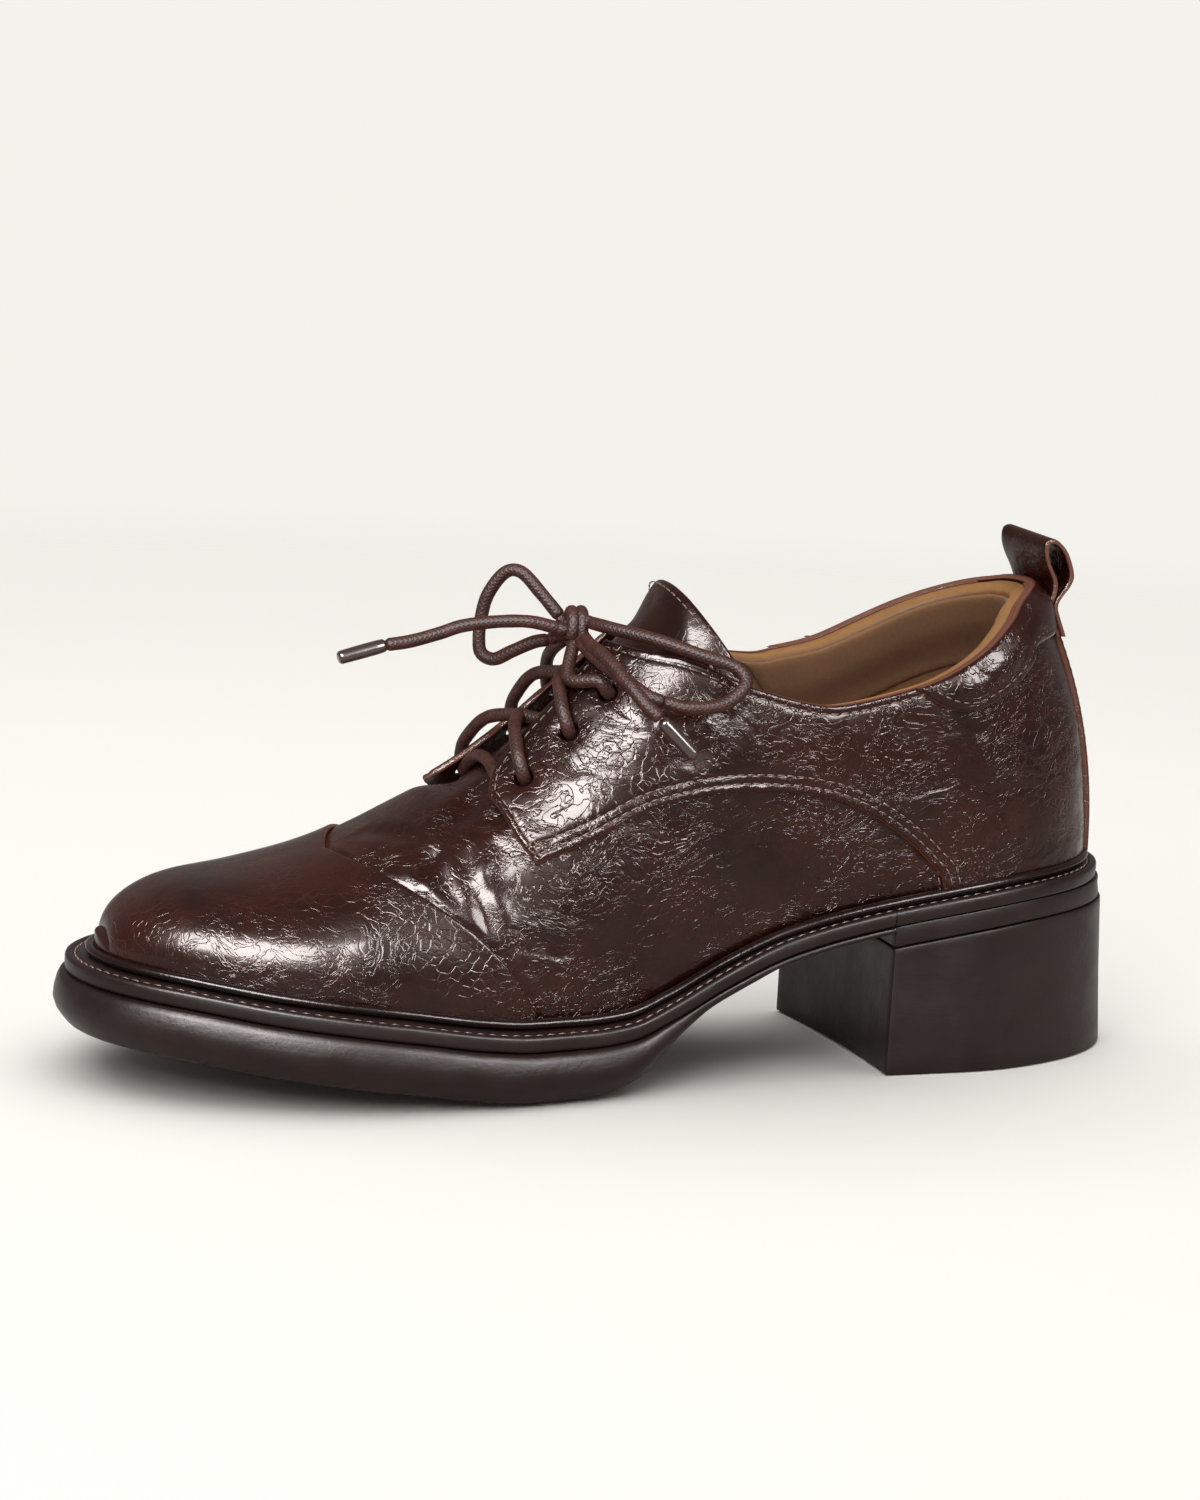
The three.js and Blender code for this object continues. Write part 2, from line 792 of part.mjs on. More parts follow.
// The heel's side wall: share of its height, and how far it stands in as a share of the lift's
const HEEL_WALL = table("up inset rake", [
  [0, 1.2, 1],
  [0.5, 1.2, 0.72],
  [1, 0.6, 0.42],
]);

const LIFT_RAKE = { bottom: 0.38, top: 0.28 };

// A ring whose back stands out behind the seat, by a share of the heel's rake
function raked(ring, rake) {
  return ring.map(([x, y, z]) => [x + HEEL_RAKE * rake * (Math.max(x, 0) / HEEL_CENTRE) ** 2, y, z]);
}

function makeLift() {
  const inset = same(-LIFT_INSET);
  const bottom = raked(soleRing(inset, liftBottom), LIFT_RAKE.bottom);
  const top = raked(soleRing(inset, liftTop), LIFT_RAKE.top);
  return stack([bottom, top]).intersect(breast(0));
}

function makeHeel() {
  const rings = HEEL_WALL.map(({ up, inset, rake }) => {
    const ring = soleRing(same(-inset * LIFT_INSET), (a) => up * (liftBottom(a) - GAP));
    return raked(ring, rake);
  });
  return stack(rings).intersect(breast(0));
}

function makeInsole() {
  const inset = -WALL - GAP;
  const bottom = (a) => seatHeight(a) + GAP;
  return stack([featherRing(inset, bottom), featherRing(inset, (a) => bottom(a) + INSOLE)]);
}

// The strip up the back and the loop behind the collar

function riseAt(up, out) {
  let [low, high] = [0, 1];
  for (let i = 0; i < 30; i += 1) {
    const middle = (low + high) / 2;
    if (surface(0, middle, out)[2] < up) low = middle;
    else high = middle;
  }
  return (low + high) / 2;
}

const LOOP_BASE = HEEL_SEAT + 0.585 * INSTEP;

function makeBackStrip() {
  const shell = form(COLLAR_FACE).subtract(form(2 * GAP + LEATHER)).subtract(bed(PANEL_FOOT));
  const half = STRIP_WIDTH / 2;
  const width = planCut([
    [-LENGTH, -half],
    [HEEL_LENGTH, -half],
    [HEEL_LENGTH, half],
    [-LENGTH, half],
  ]);
  const [, seam] = sidePoints(COLLAR_SEAM).at(-2);
  const under = prism(
    [
      [-LENGTH, -FAR],
      [HEEL_LENGTH, -FAR],
      [HEEL_LENGTH, FAR],
      [-LENGTH, FAR],
    ],
    (x, y, z) => place(x, y, (seam - 2 * GAP) * z),
  );
  return shell.intersect(width).intersect(under);
}

// A teardrop of strap, seen from the side: forward and up as shares of its depth and height
const LOOP_OUTSIDE = table("forward up", [
  [-0.2, 0],
  [-0.2, 0.3],
  [-0.36, 0.52],
  [-0.5, 0.72],
  [-0.44, 0.9],
  [-0.12, 1],
  [0.28, 0.97],
  [0.5, 0.82],
  [0.46, 0.64],
  [0.2, 0.42],
  [0.2, 0.3],
  [0.2, 0],
]);

// The eye of the loop: its middle and half sizes, as shares of the depth inside and the height
const LOOP_EYE = { up: 0.74, high: 0.2, taper: 0.25, corners: 14 };
const LOOP_SLOPE = 0.4;
const LOOP_TWIST = 0.16;
const LOOP_TILT = 0.08;
const LOOP_FOOT = 0.2;
const LOOP_JOINED = 0.25;

function loopSection() {
  const points = LOOP_OUTSIDE.map(({ forward, up }) => [forward * LOOP_DEPTH, up * LOOP_HEIGHT]);
  const shape = new THREE.Shape(rounded(points, 26).map(([x, y]) => new THREE.Vector2(x, y)));
  const half = LOOP_DEPTH / 2 - STRAP;
  const eye = Array.from({ length: LOOP_EYE.corners }, (_, i) => {
    const angle = (2 * Math.PI * i) / LOOP_EYE.corners;
    const wide = half * (1 + LOOP_EYE.taper * Math.sin(angle));
    const up = (LOOP_EYE.up + LOOP_EYE.high * Math.sin(angle)) * LOOP_HEIGHT;
    return new THREE.Vector2(STRAP / 7 + wide * Math.cos(angle), up);
  });
  shape.holes.push(new THREE.Path(eye));
  return shape;
}

// The foot hugs the heel's round back, and the eye turns a little to the outer side
function makePullLoop() {
  const settings = { depth: 1, bevelEnabled: false, steps: 4 };
  const geometry = new THREE.ExtrudeGeometry(loopSection(), settings);
  const position = geometry.getAttribute("position");
  const base = surface(0, riseAt(LOOP_BASE, COLLAR_FACE), COLLAR_FACE)[0];
  const foot = base - LOOP_FOOT * LOOP_DEPTH - GAP;
  for (let i = 0; i < position.count; i += 1) {
    const up = position.getY(i);
    const across = (position.getZ(i) - 0.5) * LOOP_WIDTH;
    const opened = smooth((up / LOOP_HEIGHT - LOOP_JOINED) / (1.6 * LOOP_JOINED));
    const wrap = (across * across * (1 - opened)) / (2 * HEEL_ROUND);
    const lean = LOOP_SLOPE * up + LOOP_TWIST * across * opened;
    const height = LOOP_BASE + up + LOOP_TILT * across * opened;
    position.setXYZ(i, ...place(foot + position.getX(i) + lean + wrap, across, height));
  }
  return solidOfGeometry(geometry);
}

// Laces

function tube(points, width, steps) {
  const path = new THREE.CatmullRomCurve3(points.map((point) => new THREE.Vector3(...point)));
  const shape = new THREE.Shape();
  shape.absarc(0, 0, width / 2, 0, 2 * Math.PI);
  const geometry = new THREE.ExtrudeGeometry(shape, {
    steps,
    curveSegments: 4,
    bevelEnabled: false,
    extrudePath: path,
  });
  return solidOfGeometry(geometry);
}

const OVER = GAP + LEATHER + GAP + LACE / 2;
const UNDER = GAP / 2 - LACE_ROOM / 2;

// A point over the last, found by its place across the shoe
function spot(turn, across, out) {
  const outer = across < lastPoint(turn, 1)[1];
  const way = outer === turn < 1 ? turn : 2 - turn;
  let [low, high] = [0.3, 1];
  for (let i = 0; i < 24; i += 1) {
    const middle = (low + high) / 2;
    const beyond = Math.abs(lastPoint(way, middle)[1] - lastPoint(way, 1)[1]);
    if (beyond > Math.abs(across - lastPoint(way, 1)[1])) low = middle;
    else high = middle;
  }
  return place(...surface(way, (low + high) / 2, out));
}

// A strand's course: share of the way to the eyelet across, and height off the last
const STRAND = table("reach out", [
  [0, -LACE / 2],
  [0.001, GAP + LEATHER],
  [0.03, OVER],
  [0.11, OVER + 0.15 * LACE],
  [0.3, OVER],
  [0.5, 0.25 * LACE],
  [0.7, UNDER + 0.05 * LACE],
  [0.8, UNDER],
  [0.91, UNDER],
]);

// From an eyelet, over its flap's edge and the gap, to beside the next eyelet across, under
// the other flap
function strand(from, to) {
  const eye = ({ turn, rise }) => [Math.min(turn, 2 - turn), lastPoint(turn, rise)[1]];
  const [startTurn, start] = eye(from);
  const [endTurn, end] = eye(to);
  const points = STRAND.map(({ reach, out }) => {
    const turn = startTurn + (endTurn - startTurn) * reach;
    return spot(turn, start + (end - start) * reach, out);
  });
  return tube(points, LACE, 16);
}

function makeCrossing(row) {
  const { outer, inner } = EYELETS;
  return strand(outer[row], inner[row + 1]).add(strand(inner[row], outer[row + 1]));
}

// The bar lies under both flaps, a little in front of the first eyelets
const BAR_FORWARD = 0.014;
const BAR = [-0.26, -0.1, 0.04, 0.2, 0.33];

function makeBar() {
  const turn = EYELETS.outer[0].turn + BAR_FORWARD;
  return tube(
    BAR.map((share) => spot(turn, share * HALF_WIDTH, UNDER)),
    LACE,
    8,
  );
}

// The top strand, from the last eyelet to the knot: turn forward of the eyelet, share of half
// the ball width, and height over a crossing strand's as a share of the lace
const TOPS = {
  outer: table("forward across lift", [
    [0.002, -0.31, 0.05],
    [0.013, -0.2, 0.3],
  ]),
  inner: table("forward across lift", [
    [0, 0.38, 0],
    [0.002, 0.24, 0.35],
  ]),
};
const KNOT = [141.2, -1.5, 105];
const KNOT_SIZE = [8.4, 8.8, 11.6];

// The point by the knot's face that lies on the way to another point
function besideKnot(other) {
  const middle = new THREE.Vector3(...place(...KNOT));
  const way = new THREE.Vector3(...other).sub(middle).normalize();
  const half = new THREE.Vector3(...KNOT_SIZE).multiplyScalar(0.5);
  const reach = 1 / way.clone().divide(half).length() + GAP;
  return middle.addScaledVector(way, reach).toArray();
}

function makeTop(side) {
  const { turn, rise } = EYELETS[side].at(-1);
  const across = lastPoint(turn, rise)[1];
  const start = Math.min(turn, 2 - turn);
  const course = [
    spot(start, across, -LACE / 2),
    spot(start, across, GAP + LEATHER / 2),
    ...TOPS[side].map((row) =>
      spot(start + row.forward, row.across * HALF_WIDTH, OVER + row.lift * LACE),
    ),
  ];
  return tube([...course, besideKnot(course.at(-1))], LACE, 10);
}

// The bow's free cords, by hand: along, across and height of each point
const ROUTES = {
  lace_loop_outer: [
    [138.9, -5.4, 107],
    [135.3, -12, 106.5],
    [127.2, -20, 105.1],
    [118.4, -25.5, 102.5],
    [111.3, -29, 100.4],
    [108.7, -31, 97.7],
    [110.3, -32.5, 94.9],
    [115.1, -33, 91.9],
    [123, -32.5, 91.1],
    [128.4, -30.3, 92.2],
  ],
  lace_loop_inner: [
    [143.8, 2.9, 107.2],
    [147.8, 5.5, 112.2],
    [152.1, 8.5, 117],
    [155.5, 11, 116.6],
    [158.9, 13, 111.1],
    [160.1, 14, 105.1],
    [160.4, 14, 100.3],
    [160, 13, 96.8],
    [157.3, 11, 95.6],
    [153.8, 8, 98],
    [149.4, 5, 100.7],
    [146.4, 3, 101.6],
  ],
  lace_end_outer: [
    [140.5, -6.2, 103.6],
    [140.4, -10.5, 102.5],
    [139.9, -18, 101.5],
    [138.1, -24.5, 98.5],
    [136.3, -29.6, 95.5],
    [133.8, -33.1, 92],
    [130.9, -35.1, 89.1],
  ],
  lace_end_inner: [
    [146.1, -3.1, 105.3],
    [152.8, -1.5, 106.6],
    [160.2, 1.5, 106.1],
    [167.6, 4, 104.7],
    [172.8, 5, 102.8],
    [179.7, 5.5, 100.8],
    [185.6, 6, 99.8],
  ],
};
const AGLETS = {
  aglet_outer: [
    [130.4, -35.4, 88.5],
    [122.5, -36.9, 80.6],
  ],
  aglet_inner: [
    [186, 6, 99.7],
    [197.3, 5, 96.8],
  ],
};

function makeCord(points) {
  const steps = Math.round(points.length * 1.3);
  return tube(
    points.map((point) => place(...point)),
    LACE,
    steps,
  );
}

function makeKnot() {
  const geometry = new THREE.SphereGeometry(0.5, 10, 7);
  geometry.scale(...KNOT_SIZE);
  geometry.translate(...place(...KNOT));
  return solidOfGeometry(geometry);
}

// Materials and the shoe

const leather = new THREE.MeshStandardMaterial({ color: 0x3a1c14, roughness: 0.28, metalness: 0 });
const lining = new THREE.MeshStandardMaterial({ color: 0xa98557, roughness: 0.8, metalness: 0 });
const rubber = new THREE.MeshStandardMaterial({ color: 0x2a1814, roughness: 0.5, metalness: 0 });
const cord = new THREE.MeshStandardMaterial({ color: 0x3c211b, roughness: 0.6, metalness: 0 });
const plastic = new THREE.MeshStandardMaterial({ color: 0x2e1a16, roughness: 0.3, metalness: 0 });

const shoe = new THREE.Group();

function addPiece(name, solid, material) {
  const { vertProperties, triVerts } = solid.getMesh();
  const geometry = new THREE.BufferGeometry();
  geometry.setAttribute("position", new THREE.BufferAttribute(vertProperties, 3));
  geometry.setIndex(new THREE.BufferAttribute(triVerts, 1));
  geometry.computeVertexNormals();
  const mesh = new THREE.Mesh(geometry, material);
  mesh.name = name;
  shoe.add(mesh);
}

addPiece("upper", makeUpper(), leather);
addPiece("quarter_outer", makeQuarter("outer"), leather);
addPiece("quarter_inner", makeQuarter("inner"), leather);
addPiece("toe_cap", makeToeCap(), leather);
addPiece("collar", makeCollar(), leather);
addPiece("tongue", makeTongue(), leather);
addPiece("back_strip", makeBackStrip(), leather);
addPiece("pull_loop", makePullLoop(), leather);
addPiece("insole", makeInsole(), lining);
addPiece("rand", makeRand(), rubber);
addPiece("midsole", plate(midsoleBottom, seatHeight), rubber);
addPiece("outsole", makeOutsole(), rubber);
addPiece("heel_lift", makeLift(), rubber);
addPiece("heel", makeHeel(), rubber);
addPiece("lace_bar", makeBar(), cord);
addPiece("lace_crossing_low", makeCrossing(0), cord);
addPiece("lace_crossing_high", makeCrossing(1), cord);
addPiece("lace_top_outer", makeTop("outer"), cord);
addPiece("lace_top_inner", makeTop("inner"), cord);
addPiece("lace_knot", makeKnot(), cord);
for (const [name, points] of Object.entries(ROUTES)) addPiece(name, makeCord(points), cord);
for (const [name, points] of Object.entries(AGLETS)) {
  addPiece(name, tube(points.map((point) => place(...point)), AGLET, 3), plastic);
}

export default shoe;
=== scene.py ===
"""Heeled lace-up derby shoe in glossy crinkled leather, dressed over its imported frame."""

import math

import bpy
import numpy as np
from bpy.props import FloatProperty, FloatVectorProperty, PointerProperty
from mathutils import Matrix, Vector, noise


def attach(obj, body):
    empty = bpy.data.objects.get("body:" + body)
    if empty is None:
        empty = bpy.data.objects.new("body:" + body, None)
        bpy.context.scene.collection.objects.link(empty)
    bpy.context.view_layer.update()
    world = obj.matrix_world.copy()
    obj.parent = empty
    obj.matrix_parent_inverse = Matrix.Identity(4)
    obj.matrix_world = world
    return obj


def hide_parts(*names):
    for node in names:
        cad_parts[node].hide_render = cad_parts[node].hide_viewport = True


bl_info = {
    "name": "Heeled Derby Shoe",
    "version": (1, 0, 0),
    "blender": (4, 5, 0),
    "location": "View3D > Sidebar > Shoe",
    "description": "Models a glossy lace-up derby shoe with a block heel",
    "category": "Add Mesh",
}

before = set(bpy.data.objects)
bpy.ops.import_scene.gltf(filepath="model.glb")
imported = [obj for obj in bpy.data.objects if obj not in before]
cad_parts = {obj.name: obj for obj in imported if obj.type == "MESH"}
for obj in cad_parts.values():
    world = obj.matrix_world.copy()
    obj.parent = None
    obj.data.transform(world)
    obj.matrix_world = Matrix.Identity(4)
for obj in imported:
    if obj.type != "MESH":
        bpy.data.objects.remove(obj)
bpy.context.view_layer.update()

# The last, in millimetres

MM = 0.001
LENGTH = 260
BALL_WIDTH = 91
INSTEP = 100
HEEL_SEAT = 46
TOE_SPRING = 11.5
TOE_ROUND = 66
HEEL_ROUND = 46
TOE_SWING = 3
TIP_LENGTH = 20
TIP_END = 9.5
TIP_LOW = 0.3
BELLY_FADE = 15
BACK_LEAN = 21
LEAN_START = 48
LEAN_REACH = 68
LEAN_LENGTH = 110
LEAN_POWER = 2.2

# The sole and the heel, in millimetres

GAP = 0.35
MIDSOLE = 3.7
TREAD = 12.5
TREAD_BULGE = 2.6
WAIST = 1.4
RAND_WIDTH = 2.6
RAND_HEIGHT = 2.6
WALL_SWELL = 0.3
HEEL_LENGTH = 66
BREAST_SKEW = 4.5
BREAST_HOLLOW = 1.5
LIFT = 5
LIFT_INSET = 0.6
HEEL_RAKE = 6.5
LIFT_RAKE = (0.38, 0.28)

# Leather, lining and laces, in millimetres

LEATHER = 1.4
CAP_LEATHER = 0.9
WALL = 2
INSOLE = 3
COLLAR_PAD = 2.6
PAD_DEPTH = 20
PAD_FADE = 12
LINING_FRONT = 108
EYELET_HOLE = 4.6
STRIP_WIDTH = 13
LOOP_WIDTH = 19
LOOP_HEIGHT = 25
LOOP_DEPTH = 7
LOOP_TUCK = 3.2
STRAP = 1.4
LACE = 3.2
AGLET = 3.8

# Worked out from the sizes above

HALF_WIDTH = BALL_WIDTH / 2
HEEL_CENTRE = HEEL_LENGTH / 2
BALL_SEAT = TREAD + GAP + MIDSOLE
LACE_ROOM = LACE + 2 * GAP
PAD_FRONT = 0.42 * LENGTH
TONGUE_HALF = 0.594 * HALF_WIDTH
TONGUE_MIDDLE = 0.02 * HALF_WIDTH
COLLAR_FACE = 2 * GAP + 2 * LEATHER
LOOP_BASE = HEEL_SEAT + 0.585 * INSTEP

# Columns: along, then the column's value, as shares of the sizes above

PLAN = np.array([
    [0, 0.72, 0.73], [0.11, 0.705, 0.735], [0.23, 0.705, 0.7], [0.354, 0.72, 0.645],
    [0.448, 0.8, 0.655], [0.56, 0.93, 0.79], [0.653, 0.995, 0.92], [0.728, 1, 0.985],
    [0.8, 0.975, 1], [0.9, 0.94, 0.97], [1, 0.93, 0.93],
])
SEAT = np.array([
    [0, 1.07, 0], [0.108, 1.015, 0], [0.219, 0.881, 0], [0.297, 0.756, 0], [0.356, 0.62, 0],
    [0.422, 0.39, 0], [0.478, 0.153, 0], [0.519, 0.027, 0], [0.56, 0, 0], [0.61, 0, 0],
    [0.655, 0, 0.075], [0.73, 0, 0.318], [0.84, 0, 0.618], [0.925, 0, 0.851], [1, 0, 0.947],
])
SOLE = np.array([
    [0.26, 0], [0.36, 0], [0.395, 0.05], [0.437, 0.07], [0.466, 0.24], [0.489, 0.53],
    [0.507, 0.77], [0.545, 0.95], [0.578, 1], [1, 1],
])
LEDGE = np.array([[0, 0.122], [0.25, 0.105], [0.45, 0.143], [0.7, 0.19], [1, 0.171]])
UPPER = np.array([
    [0, 0.88, 2.2, -0.015, 0], [0.093, 0.96, 2.2, 0.01, 0], [0.217, 1.041, 2.2, 0.033, 0],
    [0.31, 1.052, 2.3, 0.033, 0], [0.364, 1.009, 2.35, 0.033, 0],
    [0.407, 0.973, 2.4, 0.033, 0], [0.449, 0.94, 2.35, 0.033, 0],
    [0.48, 0.908, 2.3, 0.033, 0], [0.507, 0.866, 2.2, 0.033, 0],
    [0.538, 0.799, 2.1, 0.033, 0.011], [0.573, 0.709, 2, 0.033, 0.022],
    [0.611, 0.615, 1.95, 0.033, 0.033], [0.642, 0.545, 1.95, 0.033, 0.044],
    [0.681, 0.465, 2, 0.033, 0.066], [0.722, 0.386, 2.1, 0.033, 0.077],
    [0.769, 0.306, 2.2, 0.033, 0.088], [0.815, 0.252, 2.3, 0.033, 0.088],
    [0.869, 0.206, 2.4, 0.026, 0.077], [0.911, 0.181, 2.45, 0.022, 0.066],
    [0.949, 0.17, 2.5, 0.022, 0.066], [1, 0.17, 2.5, 0.022, 0.066],
])

# Lines seen from the side: share of the length, height over the seat as a share of the instep

TOPLINE = {
    "outer": [
        [0.522, 0.852], [0.492, 0.819], [0.451, 0.754], [0.406, 0.651], [0.344, 0.551],
        [0.309, 0.527], [0.257, 0.528], [0.217, 0.544], [0.176, 0.587], [0.145, 0.642],
        [0.125, 0.684], [0.08, 0.702], [-0.061, 0.702],
    ],
    "inner": [
        [0.522, 0.852], [0.491, 0.828], [0.451, 0.765], [0.406, 0.68], [0.337, 0.592],
        [0.306, 0.581], [0.263, 0.581], [0.218, 0.61], [0.152, 0.66], [0.111, 0.69],
        [0.08, 0.702], [-0.061, 0.702],
    ],
}
QUARTER_SEAM = [
    [0.604, 0.372], [0.55, 0.432], [0.496, 0.477], [0.434, 0.434], [0.376, 0.371],
    [0.325, 0.313], [0.289, 0.258], [0.261, 0.203], [0.235, 0.141], [0.215, 0.084],
    [0.204, 0.049], [0.197, -0.05],
]
FLAP_FRONT = {
    "outer": [[0.604, 0.372], [0.618, 0.423], [0.627, 0.473], [0.635, 0.509], [0.638, 0.56]],
    "inner": [[0.604, 0.372], [0.629, 0.42], [0.652, 0.455], [0.669, 0.49], [0.673, 0.55]],
}
COLLAR_SEAM = [
    [0.25, 0.55], [0.23, 0.5], [0.203, 0.46], [0.178, 0.453], [0.145, 0.485],
    [0.118, 0.539], [0.102, 0.574], [-0.061, 0.581],
]
TONGUE_TOP = [[0.526, 1.3], [0.459, 0.945], [0.418, 0.731], [0.372, 0.5]]
CAP_SEAM = [
    [0.775, 0, 0.352], [0.758, 0.297, 0.344], [0.731, 0.534, 0.315], [0.694, 0.675, 0.268],
    [0.66, 0.747, 0.213], [0.628, 0.782, 0.132], [0.605, 0.78, 0.035],
]
EYESTAY = {
    "outer": [
        [0.691, -0.6], [0.64, -0.363], [0.63, -0.27], [0.619, -0.202], [0.593, -0.163],
        [0.565, -0.149], [0.53, -0.123], [0.434, -0.06],
    ],
    "inner": [
        [0.434, 0.29], [0.54, 0.31], [0.598, 0.31], [0.64, 0.32], [0.66, 0.36], [0.676, 0.5],
        [0.702, 0.75],
    ],
}
EYELETS = {
    "outer": [[0.563, 0.675], [0.536, 0.696], [0.513, 0.704]],
    "inner": [[1.428, 0.64], [1.457, 0.65], [1.482, 0.66]],
}

# The bow's free cords: along, across and height of each point, in millimetres

ROUTES = {
    "lace_loop_outer": [
        [138.9, -5.4, 107], [135.3, -12, 106.5], [127.2, -20, 105.1], [118.4, -25.5, 102.5],
        [111.3, -29, 100.4], [108.7, -31, 97.7], [110.3, -32.5, 94.9], [115.1, -33, 91.9],
        [123, -32.5, 91.1], [128.4, -30.3, 92.2],
    ],
    "lace_loop_inner": [
        [143.8, 2.9, 107.2], [147.8, 5.5, 112.2], [152.1, 8.5, 117], [155.5, 11, 116.6],
        [158.9, 13, 111.1], [160.1, 14, 105.1], [160.4, 14, 100.3], [160, 13, 96.8],
        [157.3, 11, 95.6], [153.8, 8, 98], [149.4, 5, 100.7], [146.4, 3, 101.6],
    ],
    "lace_end_outer": [
        [140.5, -6.2, 103.6], [140.4, -10.5, 102.5], [139.9, -18, 101.5],
        [138.1, -24.5, 98.5], [136.3, -29.6, 95.5], [133.8, -33.1, 92], [130.9, -35.1, 89.1],
    ],
    "lace_end_inner": [
        [146.1, -3.1, 105.3], [152.8, -1.5, 106.6], [160.2, 1.5, 106.1], [167.6, 4, 104.7],
        [172.8, 5, 102.8], [179.7, 5.5, 100.8], [185.6, 6, 99.8],
    ],
}
AGLETS = {
    "aglet_outer": [[130.4, -35.4, 88.5], [122.5, -36.9, 80.6]],
    "aglet_inner": [[186, 6, 99.7], [197.3, 5, 96.8]],
}
KNOT = [141.2, -1.5, 105]


# Settings


class ShoeSettings(bpy.types.PropertyGroup):
    """Sizes and colours of the shoe."""

    leather_colour: FloatVectorProperty(
        name="Leather", description="Main colour of the leather",
        subtype="COLOR", size=3, min=0, max=1, default=(0.03, 0.0062, 0.003),
    )
    raw_edge_colour: FloatVectorProperty(
        name="Raw edge", description="Colour of the leather's cut edges",
        subtype="COLOR", size=3, min=0, max=1, default=(0.19, 0.062, 0.035),
    )
    lining_colour: FloatVectorProperty(
        name="Lining", description="Colour of the lining leather",
        subtype="COLOR", size=3, min=0, max=1, default=(0.33, 0.155, 0.048),
    )
    sole_colour: FloatVectorProperty(
        name="Sole", description="Colour of the sole and the heel",
        subtype="COLOR", size=3, min=0, max=1, default=(0.02, 0.0072, 0.0058),
    )
    lace_colour: FloatVectorProperty(
        name="Laces", description="Colour of the waxed laces",
        subtype="COLOR", size=3, min=0, max=1, default=(0.08, 0.023, 0.015),
    )
    thread_colour: FloatVectorProperty(
        name="Thread", description="Colour of the sewing thread",
        subtype="COLOR", size=3, min=0, max=1, default=(0.17, 0.08, 0.055),
    )
    stitch_pitch: FloatProperty(
        name="Stitch pitch", description="Distance between two stitches",
        subtype="DISTANCE", unit="LENGTH", min=0.001, max=0.006, default=0.0026,
    )
    mesh_step: FloatProperty(
        name="Mesh step", description="Distance between two rows of the leather's mesh",
        subtype="DISTANCE", unit="LENGTH", min=0.0005, max=0.004, default=0.0009,
    )


def settings():
    return bpy.context.scene.shoe


# The last


def smooth(x):
    t = np.clip(x, 0, 1)
    return t * t * (3 - 2 * t)


def curve_of(table, column):
    """A monotone cubic through one column of a table."""
    x = table[:, 0]
    y = table[:, column]
    slope = np.diff(y) / np.diff(x)
    tangent = np.zeros(len(x))
    tangent[0] = slope[0]
    tangent[-1] = slope[-1]
    before, after = slope[:-1], slope[1:]
    product = before * after
    total = np.where(product > 0, before + after, 1)
    tangent[1:-1] = np.where(product > 0, 2 * product / total, 0)

    def value(s):
        at = np.clip(s, x[0], x[-1])
        i = np.clip(np.searchsorted(x, at) - 1, 0, len(x) - 2)
        h = x[i + 1] - x[i]
        t = (at - x[i]) / h
        rest = 1 - t
        ends = y[i] * (1 + 2 * t) * rest**2 + y[i + 1] * (3 - 2 * t) * t**2
        return ends + h * (tangent[i] * t * rest**2 - tangent[i + 1] * t**2 * rest)

    return value


outer_half = curve_of(PLAN, 1)
inner_half = curve_of(PLAN, 2)
climb = curve_of(SEAT, 1)
spring = curve_of(SEAT, 2)
sole_thick = curve_of(SOLE, 1)
ledge = curve_of(LEDGE, 1)
crown = curve_of(UPPER, 1)
fullness = curve_of(UPPER, 2)
belly = curve_of(UPPER, 3)
ridge = curve_of(UPPER, 4)


def seat_height(along):
    s = along / LENGTH
    return BALL_SEAT + (HEEL_SEAT - BALL_SEAT) * climb(s) + TOE_SPRING * spring(s)


def round_ends(along):
    back = np.clip(along, 0, HEEL_ROUND)
    front = np.clip(LENGTH - along, 0, TOE_ROUND)
    heel = 1 - ((HEEL_ROUND - back) / HEEL_ROUND) ** 2
    toe = 1 - ((TOE_ROUND - front) / TOE_ROUND) ** 2
    return np.sqrt(heel * toe)


def outline(turn):
    turn = np.mod(turn, 2)
    way = np.where(turn <= 1, turn, 2 - turn)
    along = LENGTH * (1 - np.cos(np.pi * way)) / 2
    s = along / LENGTH
    half = np.where(turn <= 1, -outer_half(s), inner_half(s))
    return along, TOE_SWING * s * s + half * HALF_WIDTH * round_ends(along)


def edge(turn, out):
    step = 1e-3
    a0, b0 = outline(turn - step)
    a1, b1 = outline(turn + step)
    a, b = outline(turn)
    run = np.hypot(a1 - a0, b1 - b0)
    return a + out * (b1 - b0) / run, b - out * (a1 - a0) / run


def feather(turn, out=0):
    along, _ = outline(turn)
    return edge(turn, out - ledge(along / LENGTH) * HALF_WIDTH)


